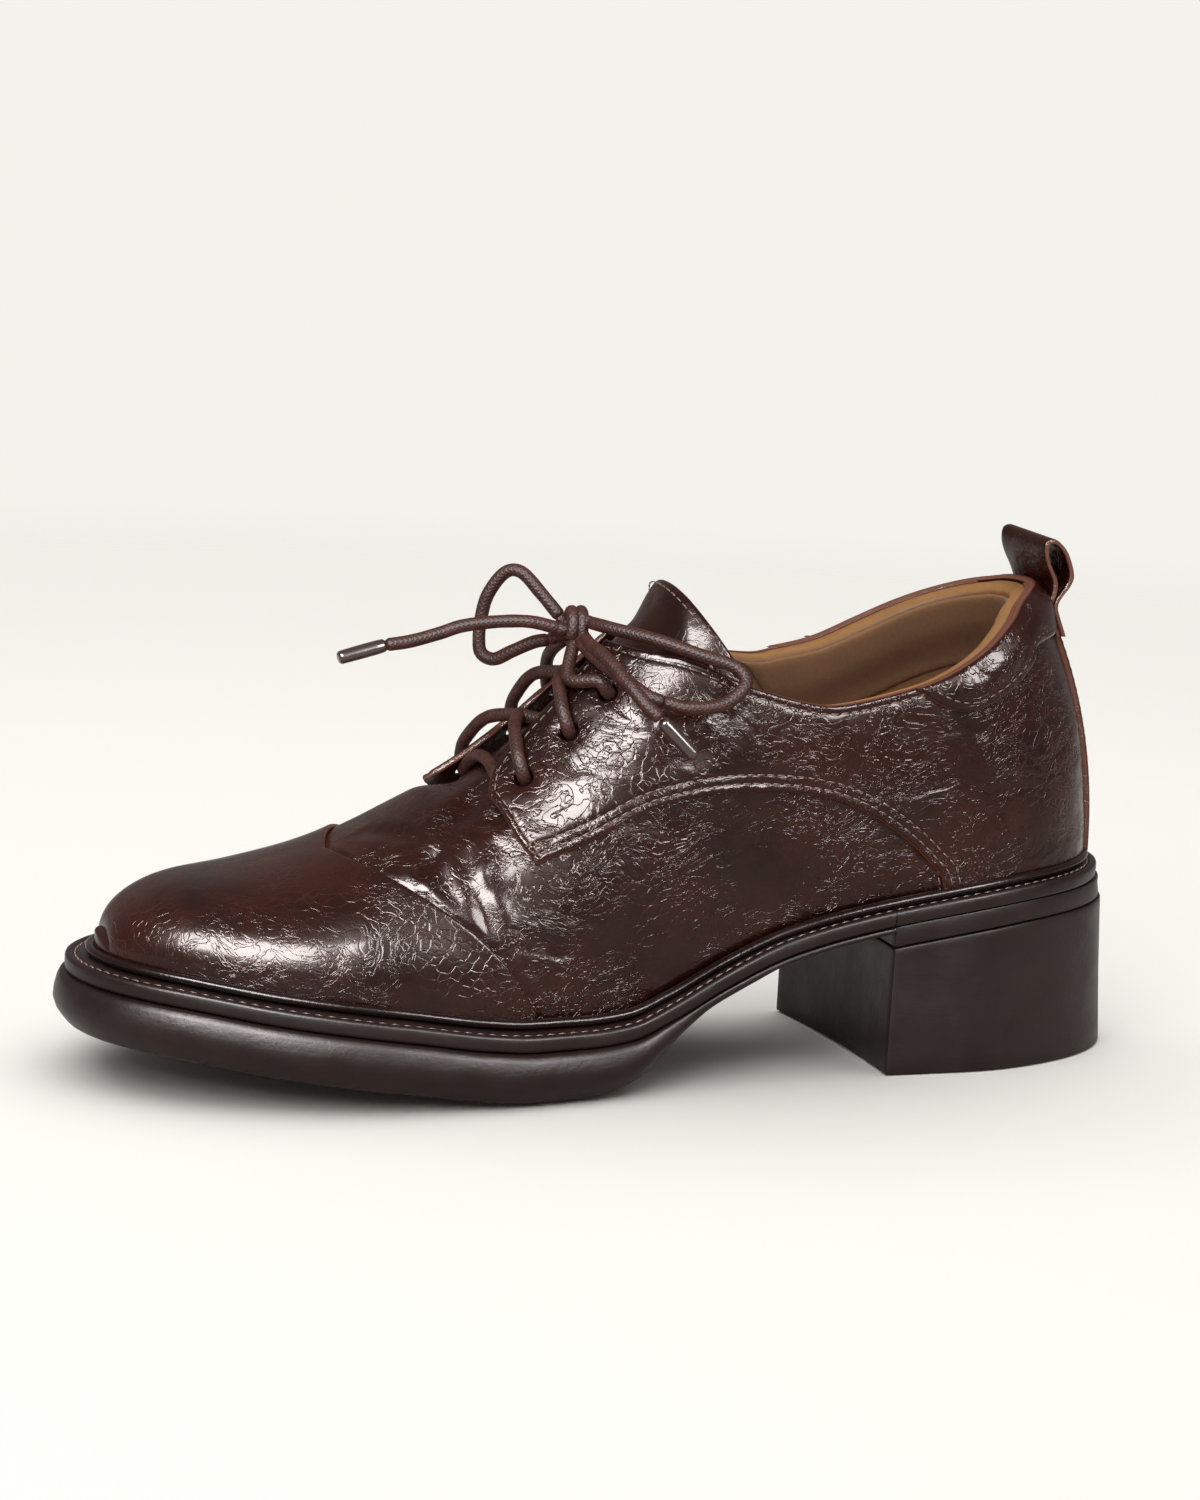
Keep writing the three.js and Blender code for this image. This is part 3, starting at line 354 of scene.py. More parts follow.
def last_point(turn, rise):
    fa, fb = feather(turn)
    ga, _ = feather(2 - turn)
    ridge_along = (fa + ga) / 2
    s = ridge_along / LENGTH
    ridge_across = TOE_SWING * s * s + ridge(s) * HALF_WIDTH
    angle = rise * np.pi / 2
    power = 2 / fullness(s)
    near = np.maximum(np.cos(angle), 0) ** power
    high = np.maximum(np.sin(angle), 0) ** power
    to_tip = np.clip(LENGTH - TIP_END - ridge_along, 0, TIP_LENGTH)
    tip = TIP_LOW + (1 - TIP_LOW) * np.sqrt(1 - ((TIP_LENGTH - to_tip) / TIP_LENGTH) ** 2)
    up = seat_height(outline(turn)[0]) + INSTEP * crown(s) * tip * high
    ua, ub = fa - ridge_along, fb - ridge_across
    reach = np.hypot(ua, ub) + 1e-9
    swell = belly(s) * HALF_WIDTH * np.sin(2 * angle) * np.clip(reach / BELLY_FADE, 0, 1)
    above = np.clip((up - LEAN_START) / LEAN_REACH, 0, 1.5)
    lean = BACK_LEAN * above**LEAN_POWER * np.clip(1 - ridge_along / LEAN_LENGTH, 0, 1) ** 2
    share = near + swell / reach
    return np.stack([ridge_along + ua * share + lean, ridge_across + ub * share, up], -1)


def last_face(turn, rise):
    """Points of the last, and its normals there."""
    turn, rise = np.broadcast_arrays(np.asarray(turn, float), np.asarray(rise, float))
    step = 1e-3
    around = last_point(turn + step, rise) - last_point(turn - step, rise)
    upward = last_point(turn, np.minimum(rise + step, 1))
    upward = upward - last_point(turn, np.maximum(rise - step, 0))
    normal = np.cross(around, upward)
    normal /= np.linalg.norm(normal, axis=-1, keepdims=True) + 1e-12
    return last_point(turn, rise), normal


def surface(turn, rise, out):
    point, normal = last_face(turn, rise)
    return point + normal * np.asarray(out)[..., None]


def place(points):
    """From along, across and height in millimetres to the frame in metres."""
    points = np.asarray(points, float)
    return np.stack([HEEL_CENTRE - points[..., 0], points[..., 1], points[..., 2]], -1) * MM


def sink(p):
    a, b, z = p[..., 0], p[..., 1], p[..., 2]
    high = smooth((z - seat_height(a) - 0.38 * INSTEP) / (0.1 * INSTEP))
    between = smooth((0.56 - np.abs(b / HALF_WIDTH - 0.055)) / 0.12)
    s = a / LENGTH
    return LACE_ROOM * high * between * smooth((0.68 - s) / 0.035) * smooth((s - 0.45) / 0.04)


# Lines on the last

# Steps from one point of a line to the next
LINE_STEPS = 8


def over_ridge(turn, rise):
    """A rise past the ridge, 1 to 2, comes down the other side."""
    return np.where(rise <= 1, turn, 2 - turn), np.where(rise <= 1, rise, 2 - rise)


def rounded(points, count):
    """A smooth line through points, as many steps between each two."""
    p = np.array(points, float)
    p = np.vstack([2 * p[0] - p[1], p, 2 * p[-1] - p[-2]])
    t = np.linspace(0, 1, count, endpoint=False)[:, None]
    parts = []
    for i in range(1, len(p) - 2):
        a, b, c, d = p[i - 1], p[i], p[i + 1], p[i + 2]
        cubic = 2 * b + (c - a) * t + (2 * a - 5 * b + 4 * c - d) * t**2
        parts.append((cubic + (3 * b - a - 3 * c + d) * t**3) / 2)
    return np.vstack([*parts, p[-2:-1]])


def side_line(rows):
    rows = np.array(rows, float)
    along = rows[:, 0] * LENGTH
    return rounded(np.stack([along, seat_height(along) + rows[:, 1] * INSTEP], -1), LINE_STEPS)


def height_on(rows, along):
    line = side_line(rows)[::-1]
    return np.interp(along, line[:, 0], line[:, 1])


def over_topline(p):
    outer = height_on(TOPLINE["outer"], p[..., 0])
    inner = height_on(TOPLINE["inner"], p[..., 0])
    return np.where(p[..., 1] < 0, outer, inner) - p[..., 2]


# Behind the seam's foot every place is over it, by this much or more
SEAM_MARGIN = 6


def over_quarter_seam(p):
    line = side_line(QUARTER_SEAM)[::-1]
    slope = (line[-1, 1] - line[-2, 1]) / (line[-1, 0] - line[-2, 0])
    beyond = np.maximum(p[..., 0] - line[-1, 0], 0) * slope
    up = p[..., 2] - np.interp(p[..., 0], line[:, 0], line[:, 1]) - beyond
    low = line[0, 0]
    return np.where(p[..., 0] < low, low + SEAM_MARGIN - p[..., 0], up)


def behind_flap_front(side):
    line = side_line(FLAP_FRONT[side])

    def inside(p):
        slope = (line[1, 0] - line[0, 0]) / (line[1, 1] - line[0, 1])
        under = np.minimum(p[..., 2] - line[0, 1], 0) * slope
        return np.interp(p[..., 2], line[:, 1], line[:, 0]) + under - p[..., 0]

    return inside


def beside_eyestay(side):
    rows = np.array(EYESTAY[side]) * [LENGTH, HALF_WIDTH]
    line = rounded(rows, LINE_STEPS)
    line = line[np.argsort(line[:, 0])]
    sign = -1 if side == "outer" else 1

    def inside(p):
        return sign * (p[..., 1] - np.interp(p[..., 0], line[:, 0], line[:, 1]))

    return inside


def before_cap_seam(p):
    rows = np.array(CAP_SEAM)
    along = rows[:, 0] * LENGTH
    value = seat_height(along) + rows[:, 2] * INSTEP - rows[:, 1] * HALF_WIDTH
    line = rounded(np.stack([along, value], -1), LINE_STEPS)[::-1]
    v = p[..., 2] - np.abs(p[..., 1])
    return p[..., 0] - np.interp(v, line[:, 1], line[:, 0])


def over_seat(margin):
    return lambda p: p[..., 2] - seat_height(p[..., 0]) - margin


def over_collar_seam(p):
    return p[..., 2] - height_on(COLLAR_SEAM, p[..., 0])


def under_tongue_top(p):
    line = side_line(TONGUE_TOP)
    line = line[np.argsort(line[:, 1])]
    return p[..., 0] - np.interp(p[..., 2], line[:, 1], line[:, 0])


# Leather surfaces

# Distances to a line are worked out up to NEAR millimetres, AT_ONCE pairs at a time
NEAR = 14.0
AT_ONCE = 3000000


class Sheet:
    """Triangles over the last. Each point has its turn and rise, and the fields cut by."""

    def __init__(self, slices, rows):
        t, q = np.meshgrid(slices, rows, indexing="ij")
        self.values = np.stack([t.ravel(), q.ravel()], -1)
        index = np.arange(t.size).reshape(t.shape)
        a, b = index[:-1, :-1].ravel(), index[1:, :-1].ravel()
        c, d = index[1:, 1:].ravel(), index[:-1, 1:].ravel()
        self.faces = np.vstack([np.stack([a, b, c], -1), np.stack([a, c, d], -1)])
        self.names = []

    def turns(self):
        return over_ridge(self.values[:, 0], self.values[:, 1])

    def field(self, name):
        return self.values[:, 2 + self.names.index(name)]

    def add_field(self, name, value):
        self.values = np.hstack([self.values, np.asarray(value, float)[:, None]])
        self.names.append(name)

    def crossings(self, value, level):
        """Where the triangles cross a level: rolled corners, and the points between them."""
        f = value - level
        inside = f[self.faces] > 0
        count = inside.sum(1)
        mixed = (count == 1) | (count == 2)
        faces, signs = self.faces[mixed], inside[mixed]
        lone_inside = signs.sum(1) == 1
        first = np.where(lone_inside[:, None], signs, ~signs).argmax(1)
        rows = np.arange(len(faces))
        a, b, c = (faces[rows, (first + k) % 3] for k in range(3))
        edges = np.sort(np.vstack([np.stack([a, b], -1), np.stack([a, c], -1)]), axis=1)
        pairs, inverse = np.unique(edges, axis=0, return_inverse=True)
        low, high = pairs[:, 0], pairs[:, 1]
        t = (f[low] / (f[low] - f[high]))[:, None]
        new = self.values[low] * (1 - t) + self.values[high] * t
        inverse = inverse.ravel()
        return count, lone_inside, (a, b, c), new, inverse[: len(a)], inverse[len(a):]

    def divide(self, name, level, drop=False):
        """Gives the mesh an edge along field = level, and can drop what lies under it."""
        value = self.field(name)
        count, lone, (a, b, c), new, ab, ac = self.crossings(value, level)
        ab, ac = ab + len(self.values), ac + len(self.values)
        single = np.stack([a, ab, ac], -1)
        double = [np.stack([ab, b, c], -1), np.stack([ab, c, ac], -1)]
        kept = [self.faces[count == 3], single[lone], double[0][~lone], double[1][~lone]]
        if not drop:
            kept += [self.faces[count == 0], single[~lone], double[0][lone], double[1][lone]]
        self.values = np.vstack([self.values, new])
        self.faces = np.vstack(kept)
        self.tidy()

    def tidy(self):
        used, faces = np.unique(self.faces, return_inverse=True)
        self.values = self.values[used]
        self.faces = faces.reshape(-1, 3)

    def line(self, value):
        """The points and steps of the line along value = 0, on the last."""
        _, _, _, new, ab, ac = self.crossings(value, 0.0)
        return last_point(*over_ridge(new[:, 0], new[:, 1])), np.stack([ab, ac], -1)

    def distance_to(self, points, steps):
        """Distance in millimetres from each point of the mesh to a line's steps."""
        here = last_point(*self.turns())
        start = points[steps[:, 0]]
        way = points[steps[:, 1]] - start
        long = (way**2).sum(1) + 1e-12
        found = np.full(len(here), NEAR)
        box = (here > start.min(0) - NEAR).all(1) & (here < start.max(0) + NEAR).all(1)
        ids = np.nonzero(box)[0]
        for part in np.array_split(ids, len(ids) * len(start) // AT_ONCE + 1):
            if not len(part):
                continue
            away = here[part][:, None, :] - start[None]
            share = np.clip((away * way).sum(2) / long, 0, 1)
            gap = away - share[..., None] * way
            found[part] = np.minimum(np.sqrt((gap**2).sum(2)).min(1), NEAR)
        return found

    def cut(self, name, inside, levels=()):
        """A signed distance to the line where inside() changes sign, cut along it."""
        here = last_point(*self.turns())
        value = inside(here)
        points, steps = self.line(value)
        if len(steps) == 0:
            self.add_field(name, np.full(len(here), NEAR))
            return
        far = self.distance_to(points, steps)
        self.add_field(name, np.where(value > 0, far, -far))
        self.divide(name, 0.0, drop=True)
        for level in levels:
            self.divide(name, level)

    def contour(self, name, level, others=()):
        """Lines along field = level, as lists of points that carry turn and rise."""
        _, _, _, new, ab, ac = self.crossings(self.field(name), level)
        keep = np.ones(len(new), bool)
        for other, least in others:
            keep &= new[:, 2 + self.names.index(other)] > least
        steps = np.stack([ab, ac], -1)
        return chains(new[:, :2], steps[keep[steps].all(1)])


# Points in the shortest line that is kept
SHORTEST_ROW = 5


def chains(values, steps):
    """Joins loose steps into lines, and leaves out the shortest."""
    steps = steps[steps[:, 0] != steps[:, 1]]
    beside = {}
    for a, b in steps.tolist():
        beside.setdefault(a, []).append(b)
        beside.setdefault(b, []).append(a)
    seen = set()
    found = []
    ends = [v for v in beside if len(beside[v]) == 1] + list(beside)
    for start in ends:
        if start in seen:
            continue
        row = [start]
        seen.add(start)
        while True:
            following = [v for v in beside[row[-1]] if v not in seen]
            if not following:
                break
            row.append(following[0])
            seen.add(following[0])
        if len(row) >= SHORTEST_ROW:
            found.append(values[row])
    return found


# From edge to edge over the last, in millimetres, to space the rows of a sheet
MEAN_GIRTH = 150


def lattice(low, high, step=None):
    """A sheet between two shares of the length, right over the last from side to side."""
    step = step or settings().mesh_step / MM
    first, last = (math.acos(1 - 2 * s) / math.pi for s in (low, high))
    slices = max(8, round((last - first) * 0.5 * math.pi * LENGTH * 0.9 / step))
    rows = max(8, round(MEAN_GIRTH / step))
    return Sheet(np.linspace(first, last, slices), np.linspace(0, 2, rows))


# Meshes and pieces


def new_mesh(name, points, faces, look, layers=None, uv=None):
    """A smooth mesh piece in the frame. Points are in metres, faces are lists of corners."""
    mesh = bpy.data.meshes.new(name)
    mesh.from_pydata(np.asarray(points).tolist(), [], [list(map(int, f)) for f in faces])
    for label, values in (layers or {}).items():
        layer = mesh.attributes.new(label, "FLOAT", "POINT")
        layer.data.foreach_set("value", np.asarray(values, np.float32))
    if uv is not None:
        layer = mesh.uv_layers.new(name="UVMap")
        corners = np.zeros(len(mesh.loops), np.int64)
        mesh.loops.foreach_get("vertex_index", corners)
        layer.data.foreach_set("uv", np.asarray(uv, np.float32)[corners].ravel())
    mesh.validate()
    mesh.update()
    piece = bpy.data.objects.new(name, mesh)
    bpy.context.scene.collection.objects.link(piece)
    mesh.materials.append(material(look))
    mesh.shade_smooth()
    return piece


# Points of a sheet that are closer than this are one, in millimetres
WELD = 2e-3


def finish_piece(piece, slot, *nodes):
    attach(piece, "root")
    if nodes:
        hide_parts(*nodes)
    return piece


def welded(points, faces, layers):
    """Merges points that lie on each other, such as at the toe's tip."""
    key = np.round(np.asarray(points) / WELD).astype(np.int64)
    _, first, inverse = np.unique(key, axis=0, return_index=True, return_inverse=True)
    faces = inverse.ravel()[faces]
    a, b, c = faces.T
    faces = faces[(a != b) & (b != c) & (c != a)]
    return points[first], faces, {k: np.asarray(v)[first] for k, v in layers.items()}


def thick(sheet, top, bottom, layers):
    """A closed solid between two offsets of a sheet, in millimetres."""
    turn, rise = sheet.turns()
    point, normal = last_face(turn, rise)
    face = np.cross(
        point[sheet.faces[:, 1]] - point[sheet.faces[:, 0]],
        point[sheet.faces[:, 2]] - point[sheet.faces[:, 0]],
    )
    away = (face * normal[sheet.faces[:, 0]]).sum(1).sum()
    faces = sheet.faces if away > 0 else sheet.faces[:, ::-1]
    upper, joined, kept = welded(point, faces, {**layers, "i": np.arange(len(point))})
    pick = kept.pop("i").astype(int)
    over = upper + normal[pick] * np.broadcast_to(top, len(point))[pick][:, None]
    under = upper + normal[pick] * np.broadcast_to(bottom, len(point))[pick][:, None]
    count = len(upper)
    edges = np.vstack([joined[:, [0, 1]], joined[:, [1, 2]], joined[:, [2, 0]]])
    code = np.sort(edges, axis=1)
    _, first, times = np.unique(code, axis=0, return_index=True, return_counts=True)
    rim = edges[first[times == 1]]
    walls = np.vstack([
        np.stack([rim[:, 1], rim[:, 0], rim[:, 0] + count], -1),
        np.stack([rim[:, 1], rim[:, 0] + count, rim[:, 1] + count], -1),
    ])
    all_faces = np.vstack([joined, joined[:, ::-1] + count, walls])
    points = np.vstack([over, under])
    kept = {k: np.concatenate([v, v]) for k, v in kept.items()}
    kept["inside"] = np.concatenate([np.zeros(count), np.ones(count)])
    return points, all_faces[:, ::-1], kept


def sheet_piece(name, sheet, top, bottom, layers, look, slot, *nodes):
    points, faces, kept = thick(sheet, top, bottom, layers)
    return finish_piece(new_mesh(name, place(points), faces, look, kept), slot, *nodes)


def edge_round(distance, radius):
    """0 at a cut edge, rising in a quarter circle to 1."""
    x = np.clip(distance / radius, 0, 1)
    return np.sqrt(1 - (1 - x) ** 2)


def furrow(distance, at, width):
    """1 along the line at a distance from an edge, falling to 0 beside it."""
    return np.exp(-(((distance - at) / width) ** 2))


def ripple(points, size, seed):
    """Soft noise between about -1 and 1, waves of a size in millimetres."""
    scaled = points / size + seed
    return np.array([noise.noise(Vector(p)) for p in scaled.tolist()])


# Folds of the vamp

# From and to points, width and depth in millimetres
FOLDS = [
    ((165, -6, 69), (175, -16, 59.5), 3.0, 1.3),
    ((174.5, -17, 58.5), (168.5, -32, 40), 2.2, 1.0),
    ((183, -23, 51), (175.5, -18, 57), 1.8, 0.8),
    ((187, -16.5, 54), (180.3, -29, 44.5), 3.0, -0.6),
    ((190, -2, 56), (181, -15, 56), 2.5, 0.7),
    ((164.5, -19, 60), (170, -27, 50), 2.0, -0.7),
]


def folds(points):
    """Depth of the folds: a furrow each, with a low ridge beside it, fading at both ends."""
    deep = np.zeros(len(points))
    for start, end, width, depth in FOLDS:
        start, end = np.array(start, float), np.array(end, float)
        way = end - start
        share = np.clip(((points - start) @ way) / (way @ way), 0, 1)
        gap = np.linalg.norm(points - start - share[:, None] * way, axis=1) / width
        fade = 1 - 0.6 * np.abs(2 * share - 1) ** 2
        deep += depth * fade * (furrow(gap, 0, 1) - 0.45 * furrow(gap, 1.7, 1))
    return deep


# Stitches

# Threads' thickness in millimetres, and a stitch's rings: share along it, width and lift
THREAD = 0.42
WELT_THREAD = 0.62
STITCH_SIDES = 6
STITCH_RINGS = [
    (0.1, 0.25, -0.5), (0.2, 0.8, -0.05), (0.5, 1.0, 0.1), (0.8, 0.8, -0.05), (0.9, 0.25, -0.5),
]


def spread(points, count):
    """A line's points replaced by a count of evenly spaced ones."""
    gaps = np.linalg.norm(np.diff(points, axis=0), axis=1)
    at = np.concatenate([[0], np.cumsum(gaps)])
    want = np.linspace(0, at[-1], count)
    return np.stack([np.interp(want, at, points[:, k]) for k in range(points.shape[1])], -1)


def resampled(points, pitch):
    gaps = np.linalg.norm(np.diff(points, axis=0), axis=1)
    return spread(points, max(2, int(np.cumsum(gaps)[-1] / pitch)) + 1)


def stitch_rows(rows, out, pitch):
    """Stitches along rows of turn and rise, each a short rounded bar of thread."""
    points, faces = [], []
    for row in rows:
        face, normal = last_face(*over_ridge(row[:, 0], row[:, 1]))
        ends = resampled(np.hstack([face + normal * out, normal]), pitch)
        for k in range(len(ends) - 1):
            up = ends[k, 3:] / np.linalg.norm(ends[k, 3:])
            add_stitch(points, faces, ends[k, :3], ends[k + 1, :3], up, THREAD)
    return points, faces


def add_stitch(points, faces, start, finish, up, thread):
    way = finish - start
    side = np.cross(way, up)
    side /= np.linalg.norm(side) + 1e-9
    first = len(points)
    around = range(STITCH_SIDES)
    for along, wide, lift in STITCH_RINGS:
        middle = start + way * along + up * (lift * thread)
        for k in around:
            angle = 2 * math.pi * k / STITCH_SIDES
            turn = side * math.cos(angle) + up * math.sin(angle)
            points.append(middle + turn * (thread / 2 * wide))
    last = len(points) - STITCH_SIDES
    for low in range(first, last, STITCH_SIDES):
        for k in around:
            a, b = low + k, low + (k + 1) % STITCH_SIDES
            faces.append([a, b, b + STITCH_SIDES, a + STITCH_SIDES])
    faces.append([first + k for k in around][::-1])
    faces.append([last + k for k in around])


def stitches(name, points, faces, slot="leather"):
    if not points:
        raise RuntimeError(f"{name} has no stitches")
    return finish_piece(new_mesh(name, place(np.array(points)), faces, "thread"), slot)


# Tubes and sweeps

# Sides of a cord, its unevenness as a share, steps from bump to bump, and its ends' width
CORD_SIDES = 14
CORD_WAVE = 0.012
BUMP_STEPS = 4
END_TAPER = 0.775


def tube(points, radius, sides=CORD_SIDES, step=0.7, wave=0.0, seed=0):
    """A round cord along points in millimetres, with UV round it and along it.

    The radius is one number or a row of them from end to end. A wave makes it vary a little.
    """
    path = resampled(rounded(points, 12), step)
    tangent = np.gradient(path, axis=0)
    tangent /= np.linalg.norm(tangent, axis=1, keepdims=True)
    up = np.zeros_like(path)
    guess = np.array([0.3, 0.2, 1.0])
    for i, way in enumerate(tangent):
        guess = guess - way * (guess @ way)
        guess = guess / np.linalg.norm(guess)
        up[i] = guess
    side = np.cross(tangent, up)
    angle = np.linspace(0, 2 * math.pi, sides + 1)
    ring = np.cos(angle)[None, :, None] * side[:, None] + np.sin(angle)[None, :, None] * up[:, None]
    count = len(path)
    radii = np.atleast_1d(radius)
    radii = np.interp(np.linspace(0, 1, count), np.linspace(0, 1, len(radii)), radii)
    if wave:
        at = np.arange(0, count + BUMP_STEPS, BUMP_STEPS)
        bumps = np.random.default_rng(seed).normal(0, wave, len(at))
        radii = radii * (1 + np.interp(np.arange(count), at, bumps))
    points = path[:, None] + ring * radii[:, None, None]
    for end in (0, -1):
        points[end] = path[end] + (points[end] - path[end]) * END_TAPER
    run = np.arange(count)[:, None] * step
    u = np.broadcast_to(angle / (2 * math.pi), (count, sides + 1))
    uv = np.stack([u, np.broadcast_to(run, (count, sides + 1))], -1).reshape(-1, 2)
    index = np.arange(count * (sides + 1)).reshape(count, sides + 1)
    faces = [
        [index[i, k], index[i, k + 1], index[i + 1, k + 1], index[i + 1, k]]
        for i in range(count - 1) for k in range(sides)
    ]
    faces += [index[0, :-1][::-1], index[-1, :-1]]
    return points.reshape(-1, 3), faces, uv, path


def closed_piece(piece):
    """Merges doubles and turns every face outwards."""
    bpy.ops.object.select_all(action="DESELECT")
    piece.select_set(True)
    bpy.context.view_layer.objects.active = piece
    bpy.ops.object.mode_set(mode="EDIT")
    bpy.ops.mesh.select_all(action="SELECT")
    bpy.ops.mesh.remove_doubles(threshold=1e-6)
    bpy.ops.mesh.normals_make_consistent(inside=False)
    bpy.ops.object.mode_set(mode="OBJECT")
    piece.select_set(False)
    return piece


def lace_piece(name, points, seed):
    at, faces, uv, path = tube(points, LACE / 2, wave=CORD_WAVE, seed=seed)
    return closed_piece(new_mesh(name, place(at), faces, "lace", uv=uv)), place(path)


def ring_faces(low, high, count):
    """Faces from the ring that starts at one index to the ring that starts at another."""
    ring = [(i, (i + 1) % count) for i in range(count)]
    return [[low + i, low + j, high + j, high + i] for i, j in ring]


def hoop(rings, closed):
    """Faces between rings that go round the shoe, closed on itself or with two lids."""
    count = len(rings[0])
    top = (len(rings) - 1) * count
    faces = []
    for low in range(0, top, count):
        faces += ring_faces(low, low + count, count)
    if closed:
        return np.vstack(rings), faces + ring_faces(top, 0, count)
    for start, flip in ((0, True), (top, False)):
        for i in range(count // 2):
            ends = [i, i + 1, (count - i - 1) % count, (count - i) % count]
            corners = list(dict.fromkeys(start + e for e in (ends[::-1] if flip else ends)))
            if len(corners) > 2:
                faces.append(corners)
    return np.vstack(rings), faces


# Points in a ring round the sole
RING_STEPS = 420
WELT_STEPS = 900


def sole_turns(count=RING_STEPS):
    """Turns round the sole, closer together at the toe and the heel."""
    even = np.arange(count) / count * 2
    return even + 0.25 * np.sin(2 * math.pi * even) / (2 * math.pi)


def sole_ring(grow, height, count=RING_STEPS):
    """A ring round the midsole's outline, grown, at a height worked out from its place."""
    turn = sole_turns(count)
    a, b = edge(turn, grow(outline(turn)[0]) if callable(grow) else grow)
    return np.stack([a, b, height(a)], -1)


def feather_ring(out, height):
    a, b = feather(sole_turns(), out)
    return np.stack([a, b, height(a)], -1)


# Materials


class Web:
    """Adds a material's nodes in plain calls."""

    def __init__(self, name):
        self.made = bpy.data.materials.new(name)
        self.made.use_nodes = True
        self.tree = self.made.node_tree
        self.tree.nodes.clear()
        self.output = self.tree.nodes.new("ShaderNodeOutputMaterial")
        self.place = self.tree.nodes.new("ShaderNodeTexCoord").outputs["Object"]

    def add(self, kind, inputs=None, **values):
        node = self.tree.nodes.new(kind)
        for key, value in values.items():
            setattr(node, key, value)
        self.feed(node, inputs or {})
        return node

    def feed(self, node, inputs):
        """Links a node's inputs, or sets them where the value is a number or a colour."""
        for key, value in inputs.items():
            if isinstance(value, bpy.types.NodeSocket):
                self.tree.links.new(value, node.inputs[key])
            else:
                node.inputs[key].default_value = value

    def noise(self, scale, detail=3.0, rough=0.5, distort=0.0, where=None):
        inputs = {"Vector": where or self.place, "Scale": scale, "Detail": detail}
        inputs.update({"Roughness": rough, "Distortion": distort})
        return self.add("ShaderNodeTexNoise", inputs).outputs["Fac"]

    def ramp(self, value, *stops):
        node = self.add("ShaderNodeValToRGB", {"Fac": value})
        for spare in list(node.color_ramp.elements)[1:]:
            node.color_ramp.elements.remove(spare)
        for k, (at, colour) in enumerate(stops):
            element = node.color_ramp.elements[0] if k == 0 else node.color_ramp.elements.new(at)
            element.position = at
            element.color = (*colour, 1)
        return node.outputs["Color"]

    def math(self, kind, a, b=0.0, clamp=False):
        return self.add("ShaderNodeMath", {0: a, 1: b}, operation=kind, use_clamp=clamp).outputs[0]

    def between(self, value, low, high, to_low=0.0, to_high=1.0):
        inputs = {"Value": value, "From Min": low, "From Max": high}
        inputs.update({"To Min": to_low, "To Max": to_high})
        return self.add("ShaderNodeMapRange", inputs).outputs["Result"]

    def mix(self, share, a, b):
        """A mix of two colours. The second may be a plain one."""
        b = b if isinstance(b, bpy.types.NodeSocket) else (*b, 1)
        return self.add("ShaderNodeMix", data_type="RGBA", inputs={0: share, 6: a, 7: b}).outputs[2]

    def bump(self, height, distance, strength=1.0, under=None):
        inputs = {"Height": height, "Distance": distance, "Strength": strength}
        if under is not None:
            inputs["Normal"] = under
        return self.add("ShaderNodeBump", inputs).outputs["Normal"]

    def layer(self, name):
        return self.add("ShaderNodeAttribute", attribute_name=name).outputs["Fac"]

    def warped(self, scale, amount, stretch=(1, 1, 1), turn=(0, 0, 0)):
        """The object's place, pushed about by noise, then stretched."""
        inputs = {"Vector": self.place, "Scale": scale, "Detail": 2.0}
        shift = self.add("ShaderNodeTexNoise", inputs).outputs["Color"]
        inputs = {0: shift, 1: (amount,) * 3}
        moved = self.add("ShaderNodeVectorMath", inputs, operation="MULTIPLY").outputs[0]
        place = self.add("ShaderNodeVectorMath", {0: self.place, 1: moved}).outputs[0]
        inputs = {"Vector": place, "Scale": stretch, "Rotation": turn}
        return self.add("ShaderNodeMapping", inputs).outputs[0]

    def done(self, inputs):
        """Ends the material in one shader with these inputs."""
        shader = self.add("ShaderNodeBsdfPrincipled", inputs)
        self.tree.links.new(shader.outputs[0], self.output.inputs[0])
        return self.made


def shades(colour, *factors):
    return [tuple(min(1.0, c * f) for c in colour) for f in factors]


